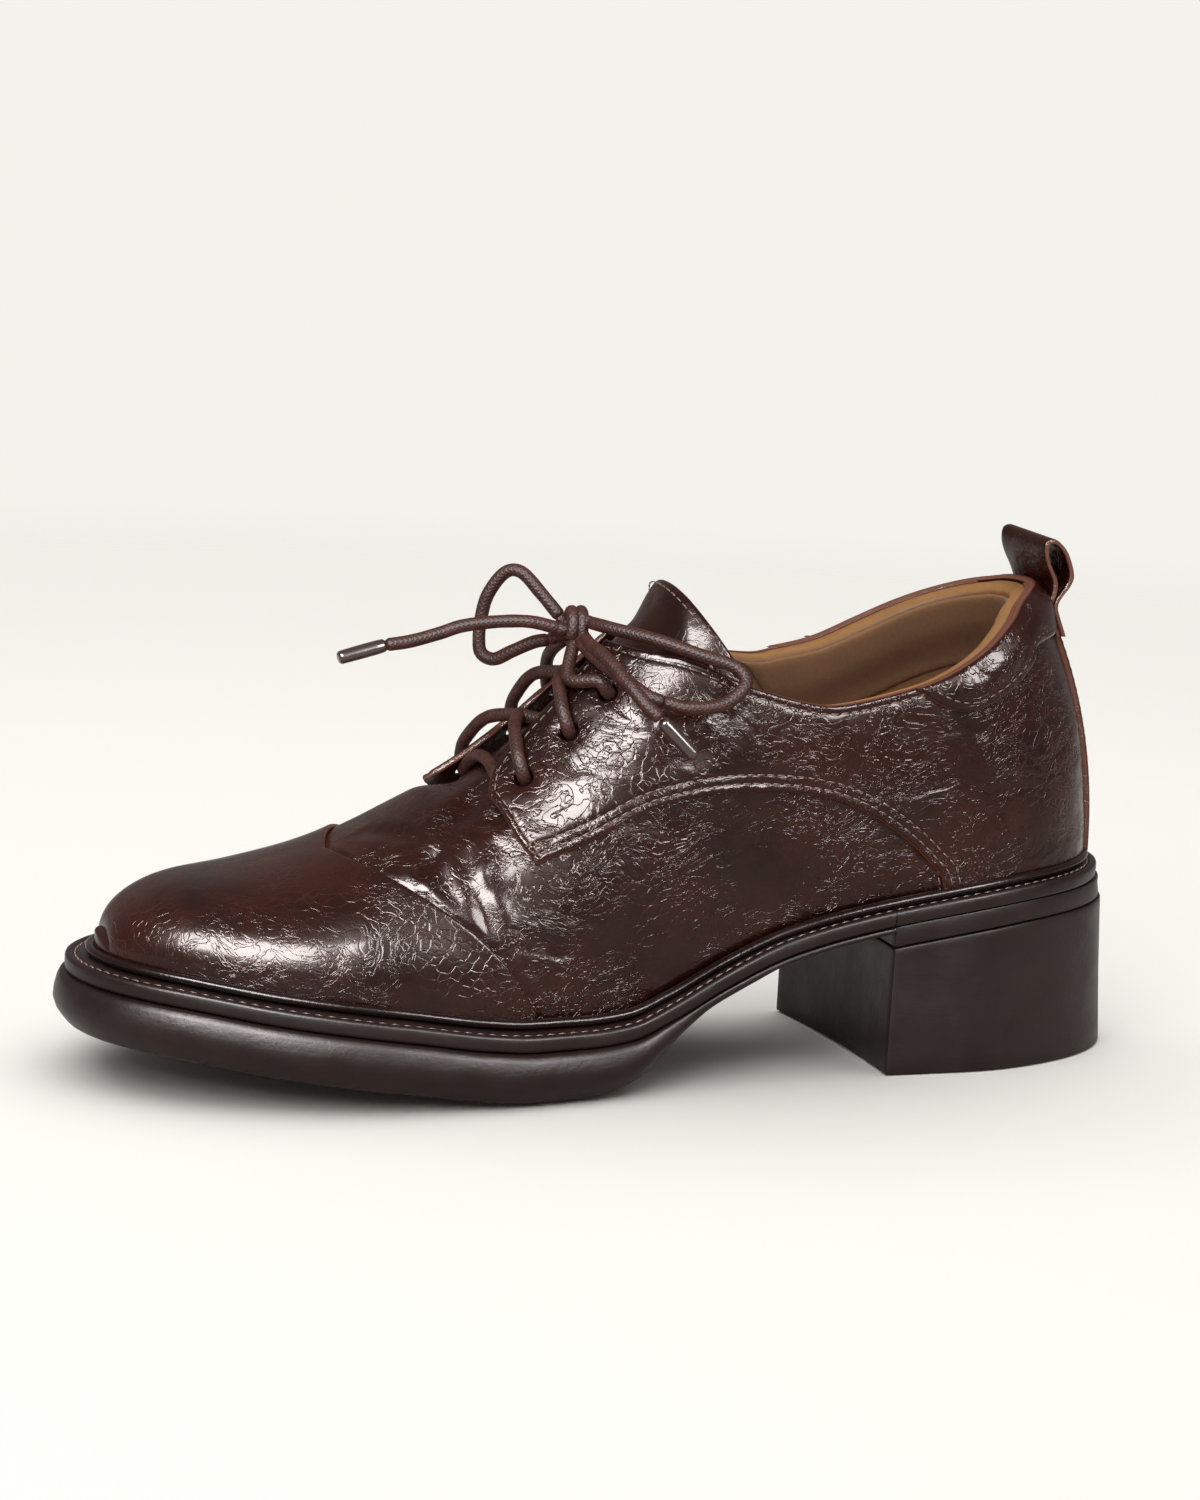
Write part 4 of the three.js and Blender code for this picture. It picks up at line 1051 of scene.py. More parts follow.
def leather_material(name, crinkle, gloss):
    """Glossy leather: soft swells, fine creases and a web of cracks, both painted lighter as painted
    highlights, and worn reddish edges.
    """
    web = Web(name)
    colour = tuple(settings().leather_colour)
    dark, light, painted_highlight = shades(colour, 0.5, 1.5, 3.0)
    cells = {"Vector": web.warped(130, 0.006), "Scale": 330}
    cells = web.add("ShaderNodeTexVoronoi", cells, feature="DISTANCE_TO_EDGE").outputs["Distance"]
    cracks = web.between(cells, 0.0, 0.05, to_low=1.0, to_high=0.0)
    cracks = web.math("MULTIPLY", cracks, web.between(web.noise(48, 3), 0.5, 0.62), clamp=True)
    turned = web.warped(45, 0.02, stretch=(1.0, 1.0, 1.7), turn=(0.3, 0.5, 0.7))
    creases = []
    for scale, width in ((90, 0.02), (240, 0.04)):
        off_level = web.math("SUBTRACT", web.noise(scale, 2, distort=1.1, where=turned), 0.5)
        creases.append(web.between(web.math("ABSOLUTE", off_level), 0.0, width))
    crease = web.math("SUBTRACT", 1.0, web.math("MINIMUM", *creases))
    zone = web.between(web.noise(38, 3), 0.4, 0.56, to_low=0.15)
    crease = web.math("MULTIPLY", crease, zone)
    base = web.ramp(web.noise(34, 5, 0.65), (0.34, dark), (0.52, colour), (0.7, light))
    # The creases and cracks are painted lighter in the base colour: painted highlights on the raised
    # crease lines.
    lines = web.math("MAXIMUM", web.math("MULTIPLY", cracks, 0.4), web.math("MULTIPLY", crease, 0.3))
    base = web.mix(lines, base, painted_highlight)
    edge_wear = web.between(web.layer("rim"), 0.0, 0.28, to_low=1.0, to_high=0.0)
    inner = web.math("MULTIPLY", web.layer("inside"), 0.25)
    raw_share = web.math("MAXIMUM", edge_wear, inner, clamp=True)
    base = web.mix(raw_share, base, tuple(settings().raw_edge_colour))
    rough = web.between(web.noise(60, 4, 0.6), 0.3, 0.7, to_low=gloss, to_high=gloss + 0.1)
    rough = web.math("ADD", rough, web.math("MULTIPLY", raw_share, 0.35), clamp=True)
    swells = web.noise(48, 2, rough=0.45, distort=0.8, where=turned)
    pores = web.noise(620, 2, distort=1.0, where=turned)
    normal = web.bump(swells, 0.0013 * crinkle, 0.7)
    normal = web.bump(crease, -0.00008 * crinkle, 0.9, under=normal)
    normal = web.bump(pores, 0.00002, 0.8, under=normal)
    normal = web.bump(cracks, -0.00007, 0.8, under=normal)
    return web.done({
        "Base Color": base, "Roughness": rough, "Normal": normal, "Coat Normal": normal,
        "Specular IOR Level": 0.12, "Specular Tint": (1, 0.86, 0.82, 1),
        "Coat Weight": 0.2, "Coat Roughness": 0.12,
    })


SUEDE_SHADE = (0.86, 0.8, 0.78)


def lining_material(name):
    """Smooth tan leather with a fine grain."""
    return tan_material(name, tuple(settings().lining_colour), 420, 0.00006, {"Roughness": 0.6})


def suede_material(name):
    """The lining's tan, a little darker, with a nap."""
    colour = tuple(c * f for c, f in zip(settings().lining_colour, SUEDE_SHADE))
    nap = {"Roughness": 0.85, "Sheen Weight": 0.35, "Sheen Roughness": 0.4}
    return tan_material(name, colour, 900, 0.0001, nap)


def tan_material(name, colour, fine_scale, fine_depth, finish):
    web = Web(name)
    dark, light = shades(colour, 0.78, 1.12)
    base = web.ramp(web.noise(60, 5, 0.65), (0.3, dark), (0.55, colour), (0.75, light))
    fine = web.noise(fine_scale, 3, 0.6)
    base = web.mix(0.35, base, web.ramp(fine, (0.35, dark), (0.65, light)))
    normal = web.bump(web.noise(120, 3), 0.0005, 0.4)
    normal = web.bump(fine, fine_depth, 0.7, under=normal)
    return web.done({"Base Color": base, "Normal": normal, "Specular IOR Level": 0.12, **finish})


def sole_material(name, gloss, streak_depth=0.00006):
    """Polished rubber with faint brushed streaks and worn patches."""
    web = Web(name)
    colour = tuple(settings().sole_colour)
    dark, light = shades(colour, 0.6, 1.35)
    base = web.ramp(web.noise(40, 5, 0.6), (0.3, dark), (0.5, colour), (0.75, light))
    streaks = web.noise(700, 3, 0.6, where=web.warped(40, 0.004, stretch=(0.12, 0.12, 1.6)))
    patches = web.noise(70, 4, 0.6)
    rough = web.between(patches, 0.3, 0.7, to_low=gloss - 0.05, to_high=gloss + 0.1)
    normal = web.bump(web.noise(150, 3), 0.00035, 0.35)
    normal = web.bump(streaks, streak_depth, 0.5, under=normal)
    normal = web.bump(web.noise(1100, 3), 0.00007, 0.6, under=normal)
    return web.done({
        "Base Color": base, "Roughness": rough, "Normal": normal, "Specular IOR Level": 0.17,
    })


BRAIDS_AROUND = 8.0
BRAIDS_ALONG = 0.85


def lace_material(name):
    """Waxed round cord: a fine diagonal braid that scuffs lighter, with painted shade in the grooves
    between its strands.
    """
    web = Web(name)
    colour = tuple(settings().lace_colour)
    dark, light = shades(colour, 0.6, 1.7)
    uv = web.add("ShaderNodeUVMap", uv_map="UVMap").outputs[0]
    split = web.add("ShaderNodeSeparateXYZ", {0: uv})
    around = web.math("MULTIPLY", split.outputs[0], BRAIDS_AROUND)
    along = web.math("MULTIPLY", split.outputs[1], BRAIDS_ALONG)
    strands = []
    for kind in ("ADD", "SUBTRACT"):
        turns = web.math(kind, around, along)
        strands.append(web.math("SINE", web.math("MULTIPLY", turns, 2 * math.pi)))
    braid = web.math("MAXIMUM", *strands)
    scuff = web.noise(420, 4, 0.65)
    base = web.ramp(scuff, (0.35, dark), (0.55, colour), (0.72, light))
    # The grooves between the braid's strands are painted darker: painted shade.
    base = web.mix(web.between(braid, 0.2, -0.6, to_high=0.5), base, dark)
    normal = web.bump(braid, 0.00009, 0.5)
    normal = web.bump(scuff, 0.0002, 0.5, under=normal)
    return web.done({
        "Base Color": base, "Normal": normal, "Roughness": 0.5, "Specular IOR Level": 0.15,
    })


def plain_material(name, colour, rough, coat=0.0):
    web = Web(name)
    dark, light = shades(colour, 0.75, 1.25)
    grain = web.noise(300, 4, 0.6)
    return web.done({
        "Base Color": web.ramp(grain, (0.35, dark), (0.65, light)), "Roughness": rough,
        "Coat Weight": coat, "Normal": web.bump(grain, 0.00005, 0.5),
    })


def thread_material(name):
    web = Web(name)
    dark, light = shades(tuple(settings().thread_colour), 0.6, 1.5)
    twist = {"Vector": web.place, "Scale": 2600, "Distortion": 1.0, "Detail": 2.0, "Detail Scale": 1.0}
    twist = web.add("ShaderNodeTexWave", twist, bands_direction="DIAGONAL").outputs["Fac"]
    return web.done({
        "Base Color": web.ramp(twist, (0.2, dark), (0.7, light)), "Roughness": 0.45,
        "Normal": web.bump(twist, 0.00005, 0.6),
    })


AGLET_COLOUR = (0.055, 0.022, 0.017)
MAKERS = {
    "shoe_leather": lambda name: leather_material(name, crinkle=1.0, gloss=0.24),
    "shoe_cap_leather": lambda name: leather_material(name, crinkle=0.5, gloss=0.25),
    "shoe_lining": lining_material,
    "shoe_suede": suede_material,
    "shoe_rand_rubber": lambda name: sole_material(name, gloss=0.22),
    "shoe_sole_rubber": lambda name: sole_material(name, gloss=0.36),
    "shoe_heel_rubber": lambda name: sole_material(name, gloss=0.42, streak_depth=0.00009),
    "shoe_lace": lace_material,
    "shoe_thread": thread_material,
    "shoe_aglet": lambda name: plain_material(name, AGLET_COLOUR, rough=0.28, coat=0.4),
}


def material(name):
    label = f"shoe_{name}"
    found = bpy.data.materials.get(label)
    return found or MAKERS[label](label)


# Camera, floor and lights

# Angles in degrees, places and sizes in metres
CAMERA_PLACE = (-0.3497, -0.7164, 0.2132)
CAMERA_TURN = 19.22
CAMERA_DIP = 10.31
CAMERA_ROLL = -3.0
BACKDROP_COLOUR = (0.905, 0.888, 0.838, 1)
FLOOR_COLOUR = (0.93, 0.915, 0.87, 1)
ROOM_COLOUR = (0.9, 0.88, 0.85, 1)
ROOM_STRENGTH = 0.32

# Name, place, aim, size, power, and the kind of ray that doesn't see it
LIGHTS = [
    ("key_light", (-0.75, -0.85, 0.75), (-0.1, 0, 0.04), (0.7, 0.5), 3, None),
    ("top_light", (-0.1, 0.1, 1.3), (-0.1, 0, 0), (2.4, 2.4), 25, "visible_glossy"),
    ("gloss_front", (-0.75, -0.8, 0.75), (-0.15, 0, 0.05), (1.0, 0.6), 115, "visible_diffuse"),
    ("gloss_side", (0.45, -1.0, 0.7), (-0.02, 0, 0.07), (0.4, 0.6), 32, "visible_diffuse"),
]


def place_camera():
    turn, dip, roll = (math.radians(a) for a in (CAMERA_TURN, CAMERA_DIP, CAMERA_ROLL))
    ahead = Vector(
        (math.sin(turn) * math.cos(dip), math.cos(turn) * math.cos(dip), -math.sin(dip))
    )
    right = Vector((math.cos(turn), -math.sin(turn), 0))
    above = right.cross(ahead)
    tilted_right = right * math.cos(roll) - above * math.sin(roll)
    tilted_above = right * math.sin(roll) + above * math.cos(roll)
    bpy.ops.object.camera_add(location=CAMERA_PLACE)
    camera = bpy.context.object
    camera.name = "camera"
    axes = Matrix((tilted_right, tilted_above, -ahead)).transposed()
    camera.rotation_euler = axes.to_euler()
    camera.data.sensor_width = 36
    camera.data.lens = 76.8
    camera.data.clip_start = 0.05
    camera.data.clip_end = 50
    bpy.context.scene.camera = camera


def floor_material():
    """Pale and even, with the shoe's shadow, fading out to the backdrop."""
    web = Web("floor")
    shader = web.add("ShaderNodeBsdfDiffuse", {"Color": FLOOR_COLOUR})
    clear = web.add("ShaderNodeBsdfTransparent")
    distance = web.add("ShaderNodeVectorMath", {0: web.place}, operation="LENGTH").outputs[1]
    inputs = {0: web.between(distance, 0.45, 1.2), 1: shader.outputs[0], 2: clear.outputs[0]}
    mixed = web.add("ShaderNodeMixShader", inputs)
    web.tree.links.new(mixed.outputs[0], web.output.inputs[0])
    return web.made


def area_light(name, spot, aim, size, power, unseen_by):
    bpy.ops.object.light_add(type="AREA", location=spot)
    light = bpy.context.object
    light.name = name
    light.data.shape = "RECTANGLE"
    light.data.size, light.data.size_y = size
    light.data.energy = power
    way = Vector(aim) - Vector(spot)
    light.rotation_euler = way.to_track_quat("-Z", "Y").to_euler()
    if unseen_by:
        setattr(light, unseen_by, False)


def make_backdrop():
    """A pale wall that only the camera sees, in a dimmer room that lights the shoe."""
    world = bpy.data.worlds.new("backdrop")
    bpy.context.scene.world = world
    world.use_nodes = True
    tree = world.node_tree
    tree.nodes.clear()
    output = tree.nodes.new("ShaderNodeOutputWorld")
    mixed = tree.nodes.new("ShaderNodeMixShader")
    path = tree.nodes.new("ShaderNodeLightPath")
    tree.links.new(path.outputs["Is Camera Ray"], mixed.inputs[0])
    for socket, colour, strength in ((1, ROOM_COLOUR, ROOM_STRENGTH), (2, BACKDROP_COLOUR, 1)):
        wall = tree.nodes.new("ShaderNodeBackground")
        wall.inputs[0].default_value = colour
        wall.inputs[1].default_value = strength
        tree.links.new(wall.outputs[0], mixed.inputs[socket])
    tree.links.new(mixed.outputs[0], output.inputs[0])


def make_stage():
    bpy.ops.mesh.primitive_circle_add(
        vertices=96, radius=1.3, fill_type="NGON", location=(-0.1, 0, -0.0003)
    )
    floor = bpy.context.object
    floor.name = "floor"
    floor.data.materials.append(floor_material())
    make_backdrop()
    for light in LIGHTS:
        area_light(*light)
    bpy.context.scene.view_settings.view_transform = "Standard"


# The upper

# Distances from an edge, in millimetres, at which the mesh gets rows of corners for the edge's
# rounding and for the grooves. Stitches run along the middle one of three.
EDGE_ROWS = (0.12, 0.35, 0.8)
SOFT_ROWS = (0.15, 0.45, 1.0)
STITCH_ROWS = (1.5, 1.8, 2.1)
SECOND_ROWS = (3.6, 3.9, 4.2)
WIDE_ROWS = (1.7, 2.1, 2.5)
STRIP_ROWS = (1.2, 1.5, 1.8)
STITCH_IN, SECOND_IN, WIDE_IN, STRIP_IN = (
    rows[1] for rows in (STITCH_ROWS, SECOND_ROWS, WIDE_ROWS, STRIP_ROWS)
)

# How far a piece runs on under the piece sewn over it, in millimetres
VAMP_UNDERLAP = 7
TONGUE_UNDERLAP = 6
CAP_UNDERLAP = 6


def vamp_inside(p):
    """Under the quarter's seam with a hidden margin, or in the tongue's width."""
    under_seam = VAMP_UNDERLAP - over_quarter_seam(p)
    ahead = p[..., 0] - 0.6 * LENGTH
    body = np.maximum(under_seam, ahead)
    beside = TONGUE_HALF - np.abs(p[..., 1] - TONGUE_MIDDLE)
    return np.maximum(body, np.minimum(beside, over_seat(30)(p)))


def tongue_inside(p):
    return np.maximum(under_tongue_top(p), TONGUE_UNDERLAP - over_quarter_seam(p))


def make_vamp():
    sheet = lattice(0.15, 0.84)
    sheet.cut("side", vamp_inside)
    sheet.cut("tongue_top", tongue_inside, (*SOFT_ROWS, *WIDE_ROWS))
    sheet.cut("cap", lambda p: CAP_UNDERLAP - before_cap_seam(p))
    here = last_point(*sheet.turns())
    before_cap = before_cap_seam(here)
    rim = sheet.field("tongue_top")
    in_tongue = 0.6 * LENGTH - here[:, 0] > 4
    depth = 1.9 + 0.2 * ripple(here, 9, 3.0)
    crease = folds(here) * smooth((-before_cap - 1.0) / 3)
    soft = 0.22 * ripple(here, 14, 5.0) + 0.1 * ripple(here, 6, 9.0)
    groove = 0.6 * furrow(before_cap, -0.3, 0.9)
    top = -sink(here) - crease - groove + soft - 0.9 * (1 - edge_round(rim, 1.0))
    bottom = np.minimum(-sink(here) - depth, top - 0.4)
    layers = {"rim": np.where(in_tongue, rim, 5.0)}
    sheet_piece("vamp", sheet, top, bottom, layers, "leather", "leather", "upper", "tongue")
    pitch = settings().stitch_pitch / MM
    stitches("tongue_stitches", *stitch_rows(sheet.contour("tongue_top", WIDE_IN), 0.15, pitch))


def make_toe_cap():
    sheet = lattice(0.58, 1.0)
    sheet.cut("seam", before_cap_seam, (*EDGE_ROWS, 1.4))
    sheet.cut("foot", over_seat(0.4))
    rim = sheet.field("seam")
    soft = 0.1 * ripple(last_point(*sheet.turns()), 16, 2.0)
    top = 0.1 + CAP_LEATHER * (0.45 + 0.55 * edge_round(rim, 0.7)) + soft * smooth(rim / 4)
    layers = {"rim": rim * 2.5}
    sheet_piece(
        "toe_cap_leather", sheet, top, -0.15, layers, "cap_leather", "leather", "toe_cap"
    )


def last_at(turn, rise):
    return last_point(np.float64(turn), np.float64(rise))


def punch_eyelets(sheet, side):
    here = last_point(*sheet.turns())
    far = [np.linalg.norm(here - last_at(*eyelet), axis=1) for eyelet in EYELETS[side]]
    sheet.add_field("hole", np.min(far, axis=0) - EYELET_HOLE / 2)
    sheet.divide("hole", 0.0, drop=True)
    for level in SOFT_ROWS:
        sheet.divide("hole", level)


def make_quarter(side):
    sign = -1 if side == "outer" else 1
    sheet = lattice(0.0, 0.7)
    sheet.cut("half", lambda p: sign * p[..., 1])
    sheet.cut("topline", over_topline, (*EDGE_ROWS, *WIDE_ROWS))
    sheet.cut("seam", over_quarter_seam, (*EDGE_ROWS, *STITCH_ROWS, *SECOND_ROWS))
    sheet.cut("front", behind_flap_front(side), (*EDGE_ROWS, *STITCH_ROWS))
    sheet.cut("eyestay", beside_eyestay(side), (*EDGE_ROWS, *STITCH_ROWS))
    sheet.cut("foot", over_seat(1.0))
    punch_eyelets(sheet, side)
    here = last_point(*sheet.turns())
    field = sheet.field
    hole = field("hole")
    flap = np.minimum(field("front"), field("eyestay"))
    rim = np.minimum(np.minimum(field("seam"), field("topline")), flap)
    groove = 0
    for name, level in (
        ("seam", STITCH_IN), ("seam", SECOND_IN), ("front", STITCH_IN), ("topline", WIDE_IN),
        ("eyestay", STITCH_IN),
    ):
        groove = groove + 0.22 * furrow(field(name), level, 0.45)
    soft = 0.3 * ripple(here, 17, 1.0 + sign) + 0.14 * ripple(here, 7, 4.0)
    puff = soft * smooth(rim / 5) * smooth(hole / 3)
    dimple = 0.5 * furrow(hole, 0, 1.6)
    edge_shape = 0.4 + 0.6 * edge_round(np.minimum(rim, hole * 1.2 + 0.2), 0.8)
    top = 0.1 + (LEATHER + GAP) * edge_shape + puff - groove - dimple
    layers = {"rim": np.minimum(rim, hole + 0.3)}
    name = f"quarter_{side}"
    sheet_piece(f"{name}_leather", sheet, top, 0.08, layers, "leather", "leather", name)
    rows = sheet.contour("seam", STITCH_IN, [("front", 1.7), ("foot", 0.5)])
    rows += sheet.contour("seam", SECOND_IN, [("front", 1.7), ("foot", 0.5)])
    rows += sheet.contour("front", STITCH_IN, [("seam", 1.7), ("eyestay", 1.7)])
    rows += sheet.contour("eyestay", STITCH_IN, [("front", 1.7), ("topline", 2.0)])
    rows += sheet.contour("topline", WIDE_IN, [("eyestay", 1.7)])
    out = LEATHER + GAP - 0.02
    stitches(f"{name}_stitches", *stitch_rows(rows, out, settings().stitch_pitch / MM))


def make_collar():
    sheet = lattice(0.0, 0.32)
    sheet.cut("topline", over_topline, (*EDGE_ROWS, 1.4))
    sheet.cut("seam", over_collar_seam, (*EDGE_ROWS, *WIDE_ROWS))
    here = last_point(*sheet.turns())
    rim = np.minimum(sheet.field("topline"), sheet.field("seam"))
    puff = 1.5 * smooth(sheet.field("seam") / 9) * smooth(sheet.field("topline") / 6)
    soft = 0.3 * ripple(here, 11, 6.0) * smooth(rim / 4)
    top = 2 * GAP + LEATHER + 0.1 + LEATHER * edge_round(rim, 0.9) + puff + soft
    layers = {"rim": rim * 1.4}
    sheet_piece("collar_panel", sheet, top, 0.9, layers, "leather", "leather", "collar")
    rows = sheet.contour("seam", WIDE_IN)
    stitches("collar_stitches", *stitch_rows(rows, COLLAR_FACE + 0.2, 2.4))


def lining_out(p):
    near_top = smooth((PAD_DEPTH - over_topline(p)) / PAD_FADE)
    at_back = smooth((PAD_FRONT - p[..., 0]) / (2 * PAD_FADE))
    return -WALL - COLLAR_PAD * near_top * at_back - sink(p)


def make_lining():
    """The tan inside, from the topline's rim down to the insole."""
    sheet = lattice(0.0, 0.56)
    sheet.cut("topline", lambda p: over_topline(p) - 0.25, (0.2, 0.6, 1.2))
    sheet.cut("front", lambda p: LINING_FRONT - p[..., 0])
    here = last_point(*sheet.turns())
    rim = sheet.field("topline")
    inner = lining_out(here) + 0.9 * (1 - edge_round(rim, 1.6))
    outer = np.where(rim < 9, 0.04, -0.6)
    sheet_piece("lining_leather", sheet, outer, inner, {"rim": rim}, "lining", "lining", "upper")


def pad_line(p):
    """Over the lower edge of the suede pad behind the ankle."""
    drop = 21 * smooth((0.36 * LENGTH - p[..., 0]) / 22) + 1.0
    return drop - over_topline(p)


def make_suede_pad():
    sheet = lattice(0.0, 0.38)
    sheet.cut("topline", lambda p: over_topline(p) - 1.4, (0.3, 0.8))
    sheet.cut("lower", pad_line, (0.3, 0.9, *WIDE_ROWS))
    here = last_point(*sheet.turns())
    rim = np.minimum(sheet.field("topline"), sheet.field("lower"))
    inner = lining_out(here) - 0.25 - 0.75 * edge_round(rim, 2.4) - 0.15 * ripple(here, 12, 8.0)
    outer = lining_out(here) + 0.2
    sheet_piece("collar_pad_suede", sheet, outer, inner, {"rim": rim}, "suede", "lining")


def make_insole():
    shapes = [(-0.6, 0.0), (0, 0.3), (0, INSOLE - 0.7), (-0.25, INSOLE - 0.2), (-0.9, INSOLE)]
    rings = [
        feather_ring(-WALL - GAP + out, lambda a, up=up: seat_height(a) + GAP + up)
        for out, up in shapes
    ]
    points, faces = hoop(rings, closed=False)
    piece = new_mesh("insole_sock", place(points), faces, "lining")
    finish_piece(closed_piece(piece), "lining", "insole")


# The strip up the back and the pull loop


def make_back_strip():
    sheet = lattice(0.0, 0.08, step=0.6)
    half = STRIP_WIDTH / 2
    sheet.cut("width", lambda p: half - np.abs(p[..., 1]), (*EDGE_ROWS, *STRIP_ROWS))
    sheet.cut("head", lambda p: LOOP_BASE + 2.0 - p[..., 2], EDGE_ROWS)
    sheet.cut("foot", over_seat(1.2))
    rim = np.minimum(sheet.field("width"), sheet.field("head"))
    top = 2 * GAP + LEATHER + LEATHER * (0.35 + 0.65 * edge_round(rim, 0.7))
    top = top - 0.2 * furrow(sheet.field("width"), STRIP_IN, 0.4)
    layers = {"rim": rim}
    sheet_piece("back_strip_leather", sheet, top, 1.0, layers, "leather", "leather", "back_strip")
    rows = sheet.contour("width", STRIP_IN, [("head", 1.4)])
    stitches("back_strip_stitches", *stitch_rows(rows, COLLAR_FACE - 0.05, 2.5))


# The loop's outline, as shares of its depth and height, and half of the strap's own section
# as shares of its half width and its thickness
LOOP_OUTSIDE = [
    [-0.2, 0], [-0.2, 0.3], [-0.36, 0.52], [-0.5, 0.72], [-0.44, 0.9], [-0.12, 1],
    [0.28, 0.97], [0.5, 0.82], [0.46, 0.64], [0.2, 0.42], [0.2, 0.3], [0.2, 0],
]
STRAP_SECTION = [(-1, 0.3), (-0.985, 0.08), (-0.95, 0), (0.95, 0), (0.985, 0.08), (1, 0.3)]
STRAP_STEPS = 14

# The share of the loop's height that is sewn shut, and half of the slit left there
CLOSED_PART = 0.34
LEAST_SLIT = 0.02


def halved(low, high, steps, short):
    """The value up to which short() holds, found by halving."""
    for _ in range(steps):
        middle = (low + high) / 2
        if short(middle):
            low = middle
        else:
            high = middle
    return (low + high) / 2


def strap_section():
    """The whole section, with its long sides cut into steps."""
    half = STRAP_SECTION
    section = half + [(-across, 1 - deep) for across, deep in half]
    dense = []
    for (across, deep), (to, into) in zip(section, section[1:] + section[:1]):
        cuts = STRAP_STEPS if abs(to - across) > 1 else 1
        for share in np.arange(cuts) / cuts:
            dense.append((across + (to - across) * share, deep + (into - deep) * share))
    return dense


def loop_foot():
    """How far along the shoe the loop's foot lies on the strip."""
    zero = np.float64(0)
    rise = halved(0.0, 1.0, 30, lambda q: surface(zero, np.float64(q), COLLAR_FACE)[2] < LOOP_BASE)
    return surface(zero, np.float64(rise), COLLAR_FACE)[0]


def loop_point(foot, x, y, across):
    """From the loop's own section to the last: along, across and height."""
    opened = smooth((y / LOOP_HEIGHT - 0.25) / 0.4)
    wrap = across**2 * (1 - opened) / (2 * HEEL_ROUND)
    tuck = LOOP_TUCK * (1 - opened)
    along = foot - 0.2 * LOOP_DEPTH - GAP + x + 0.4 * y + 0.16 * across * opened + wrap + tuck
    return np.stack([along, across + 0 * x, LOOP_BASE + y + 0.08 * across * opened], -1)


def make_pull_loop():
    outside = np.array(LOOP_OUTSIDE) * [LOOP_DEPTH, LOOP_HEIGHT]
    path = resampled(rounded(outside, 12), 0.35)
    way = np.gradient(path, axis=0)
    way /= np.linalg.norm(way, axis=1, keepdims=True)
    inward = np.stack([way[:, 1], -way[:, 0]], -1)
    middle = len(path) // 2
    if inward[middle] @ (outside.mean(0) - path[middle]) < 0:
        inward = -inward
    closed = path[:, 1] < CLOSED_PART * LOOP_HEIGHT
    half = LOOP_WIDTH / 2
    foot = loop_foot()
    section = strap_section()
    rings, rims = [], []
    for across, deep in section:
        x, y = (path + inward * (deep * STRAP * 0.96)).T
        x = np.where(closed, np.sign(path[:, 0]) * np.maximum(np.abs(x), LEAST_SLIT), x)
        rings.append(loop_point(foot, x, y, np.full(len(path), across * half)))
        rims.append(np.full(len(path), (1 - abs(across)) * half))
    points = np.vstack(rings)
    count = len(path)
    faces = []
    for k in range(len(section)):
        j = (k + 1) % len(section)
        for i in range(count - 1):
            faces.append([k * count + i, j * count + i, j * count + i + 1, k * count + i + 1])
    faces.append([k * count for k in range(len(section))])
    faces.append([k * count + count - 1 for k in range(len(section))][::-1])
    layers = {"rim": np.concatenate(rims), "inside": np.zeros(len(points))}
    piece = new_mesh("pull_loop_strap", place(points), faces, "leather", layers)
    finish_piece(closed_piece(piece), "leather", "pull_loop")


# The sole


# Sides of the bead, and the stitches' length in millimetres
RAND_SIDES = 16
WELT_PITCH = 2.9


def make_rand():
    """The glossy bead round the foot of the upper."""
    rings = []
    for angle in np.arange(RAND_SIDES) * 2 * math.pi / RAND_SIDES:
        out = GAP + WALL_SWELL + RAND_WIDTH * (0.5 + 0.5 * math.cos(angle))
        up = GAP + (RAND_HEIGHT - GAP) * (0.5 + 0.5 * math.sin(angle))
        rings.append(feather_ring(out, lambda a, up=up: seat_height(a) + up))
    points, faces = hoop(rings, closed=True)
    piece = new_mesh("rand_bead", place(points), faces, "rand_rubber")
    finish_piece(closed_piece(piece), "sole_rubber", "rand")


def midsole_bottom(a):
    return seat_height(a) - MIDSOLE


def lift_top(a):
    return midsole_bottom(a) - GAP


def lift_bottom(a):
    return lift_top(a) - LIFT


def make_midsole():
    """The stitched ledge: rounded lip outside, and a groove where the thread runs."""
    foot = [(-1.2, 0), (-0.35, 0), (-0.1, 0.25), (0.0, 0.8)]
    lip = [
        (0.05, -1.9), (0.0, -0.75), (-0.2, -0.25), (-0.6, 0), (-1.6, 0), (-1.85, -0.25),
        (-2.3, -0.55), (-2.75, -0.25), (-3.0, 0), (-8.0, 0),
    ]
    rings = [sole_ring(out, lambda a, up=up: midsole_bottom(a) + up) for out, up in foot]
    rings += [sole_ring(out, lambda a, up=up: seat_height(a) + up) for out, up in lip]
    points, faces = hoop(rings, closed=False)
    piece = new_mesh("midsole_welt", place(points), faces, "sole_rubber")
    finish_piece(closed_piece(piece), "sole_rubber", "midsole")
    row = sole_ring(-2.3, lambda a: seat_height(a) - 0.3, WELT_STEPS)
    row = resampled(row, WELT_PITCH)
    bars, corners = [], []
    for start, finish in zip(row, row[1:]):
        add_stitch(bars, corners, start, finish, np.array([0, 0, 1.0]), WELT_THREAD)
    stitches("welt_stitches", bars, corners, "sole_rubber")


def breast_line(across, move=0.0):
    half = outer_half(HEEL_LENGTH / LENGTH) * HALF_WIDTH
    share = across / half
    hollow = BREAST_HOLLOW * np.maximum(1 - share**2, 0)
    return HEEL_LENGTH + BREAST_SKEW * (share + 1) / 2 - hollow + move


# The tread's side: how far down and how far out, as shares of its depth and its bulge
TREAD_WALL = [
    (1, -4.0), (1, -1.25), (0.985, -0.9), (0.965, -0.55), (0.93, -0.25), (0.88, 0), (0.8, 0.3),
    (0.68, 0.72), (0.5, 1), (0.33, 0.92), (0.14, 0.68), (0.04, 0.45), (0, 0.2), (0, -0.6),
]
LEAST_BULGE = 0.12


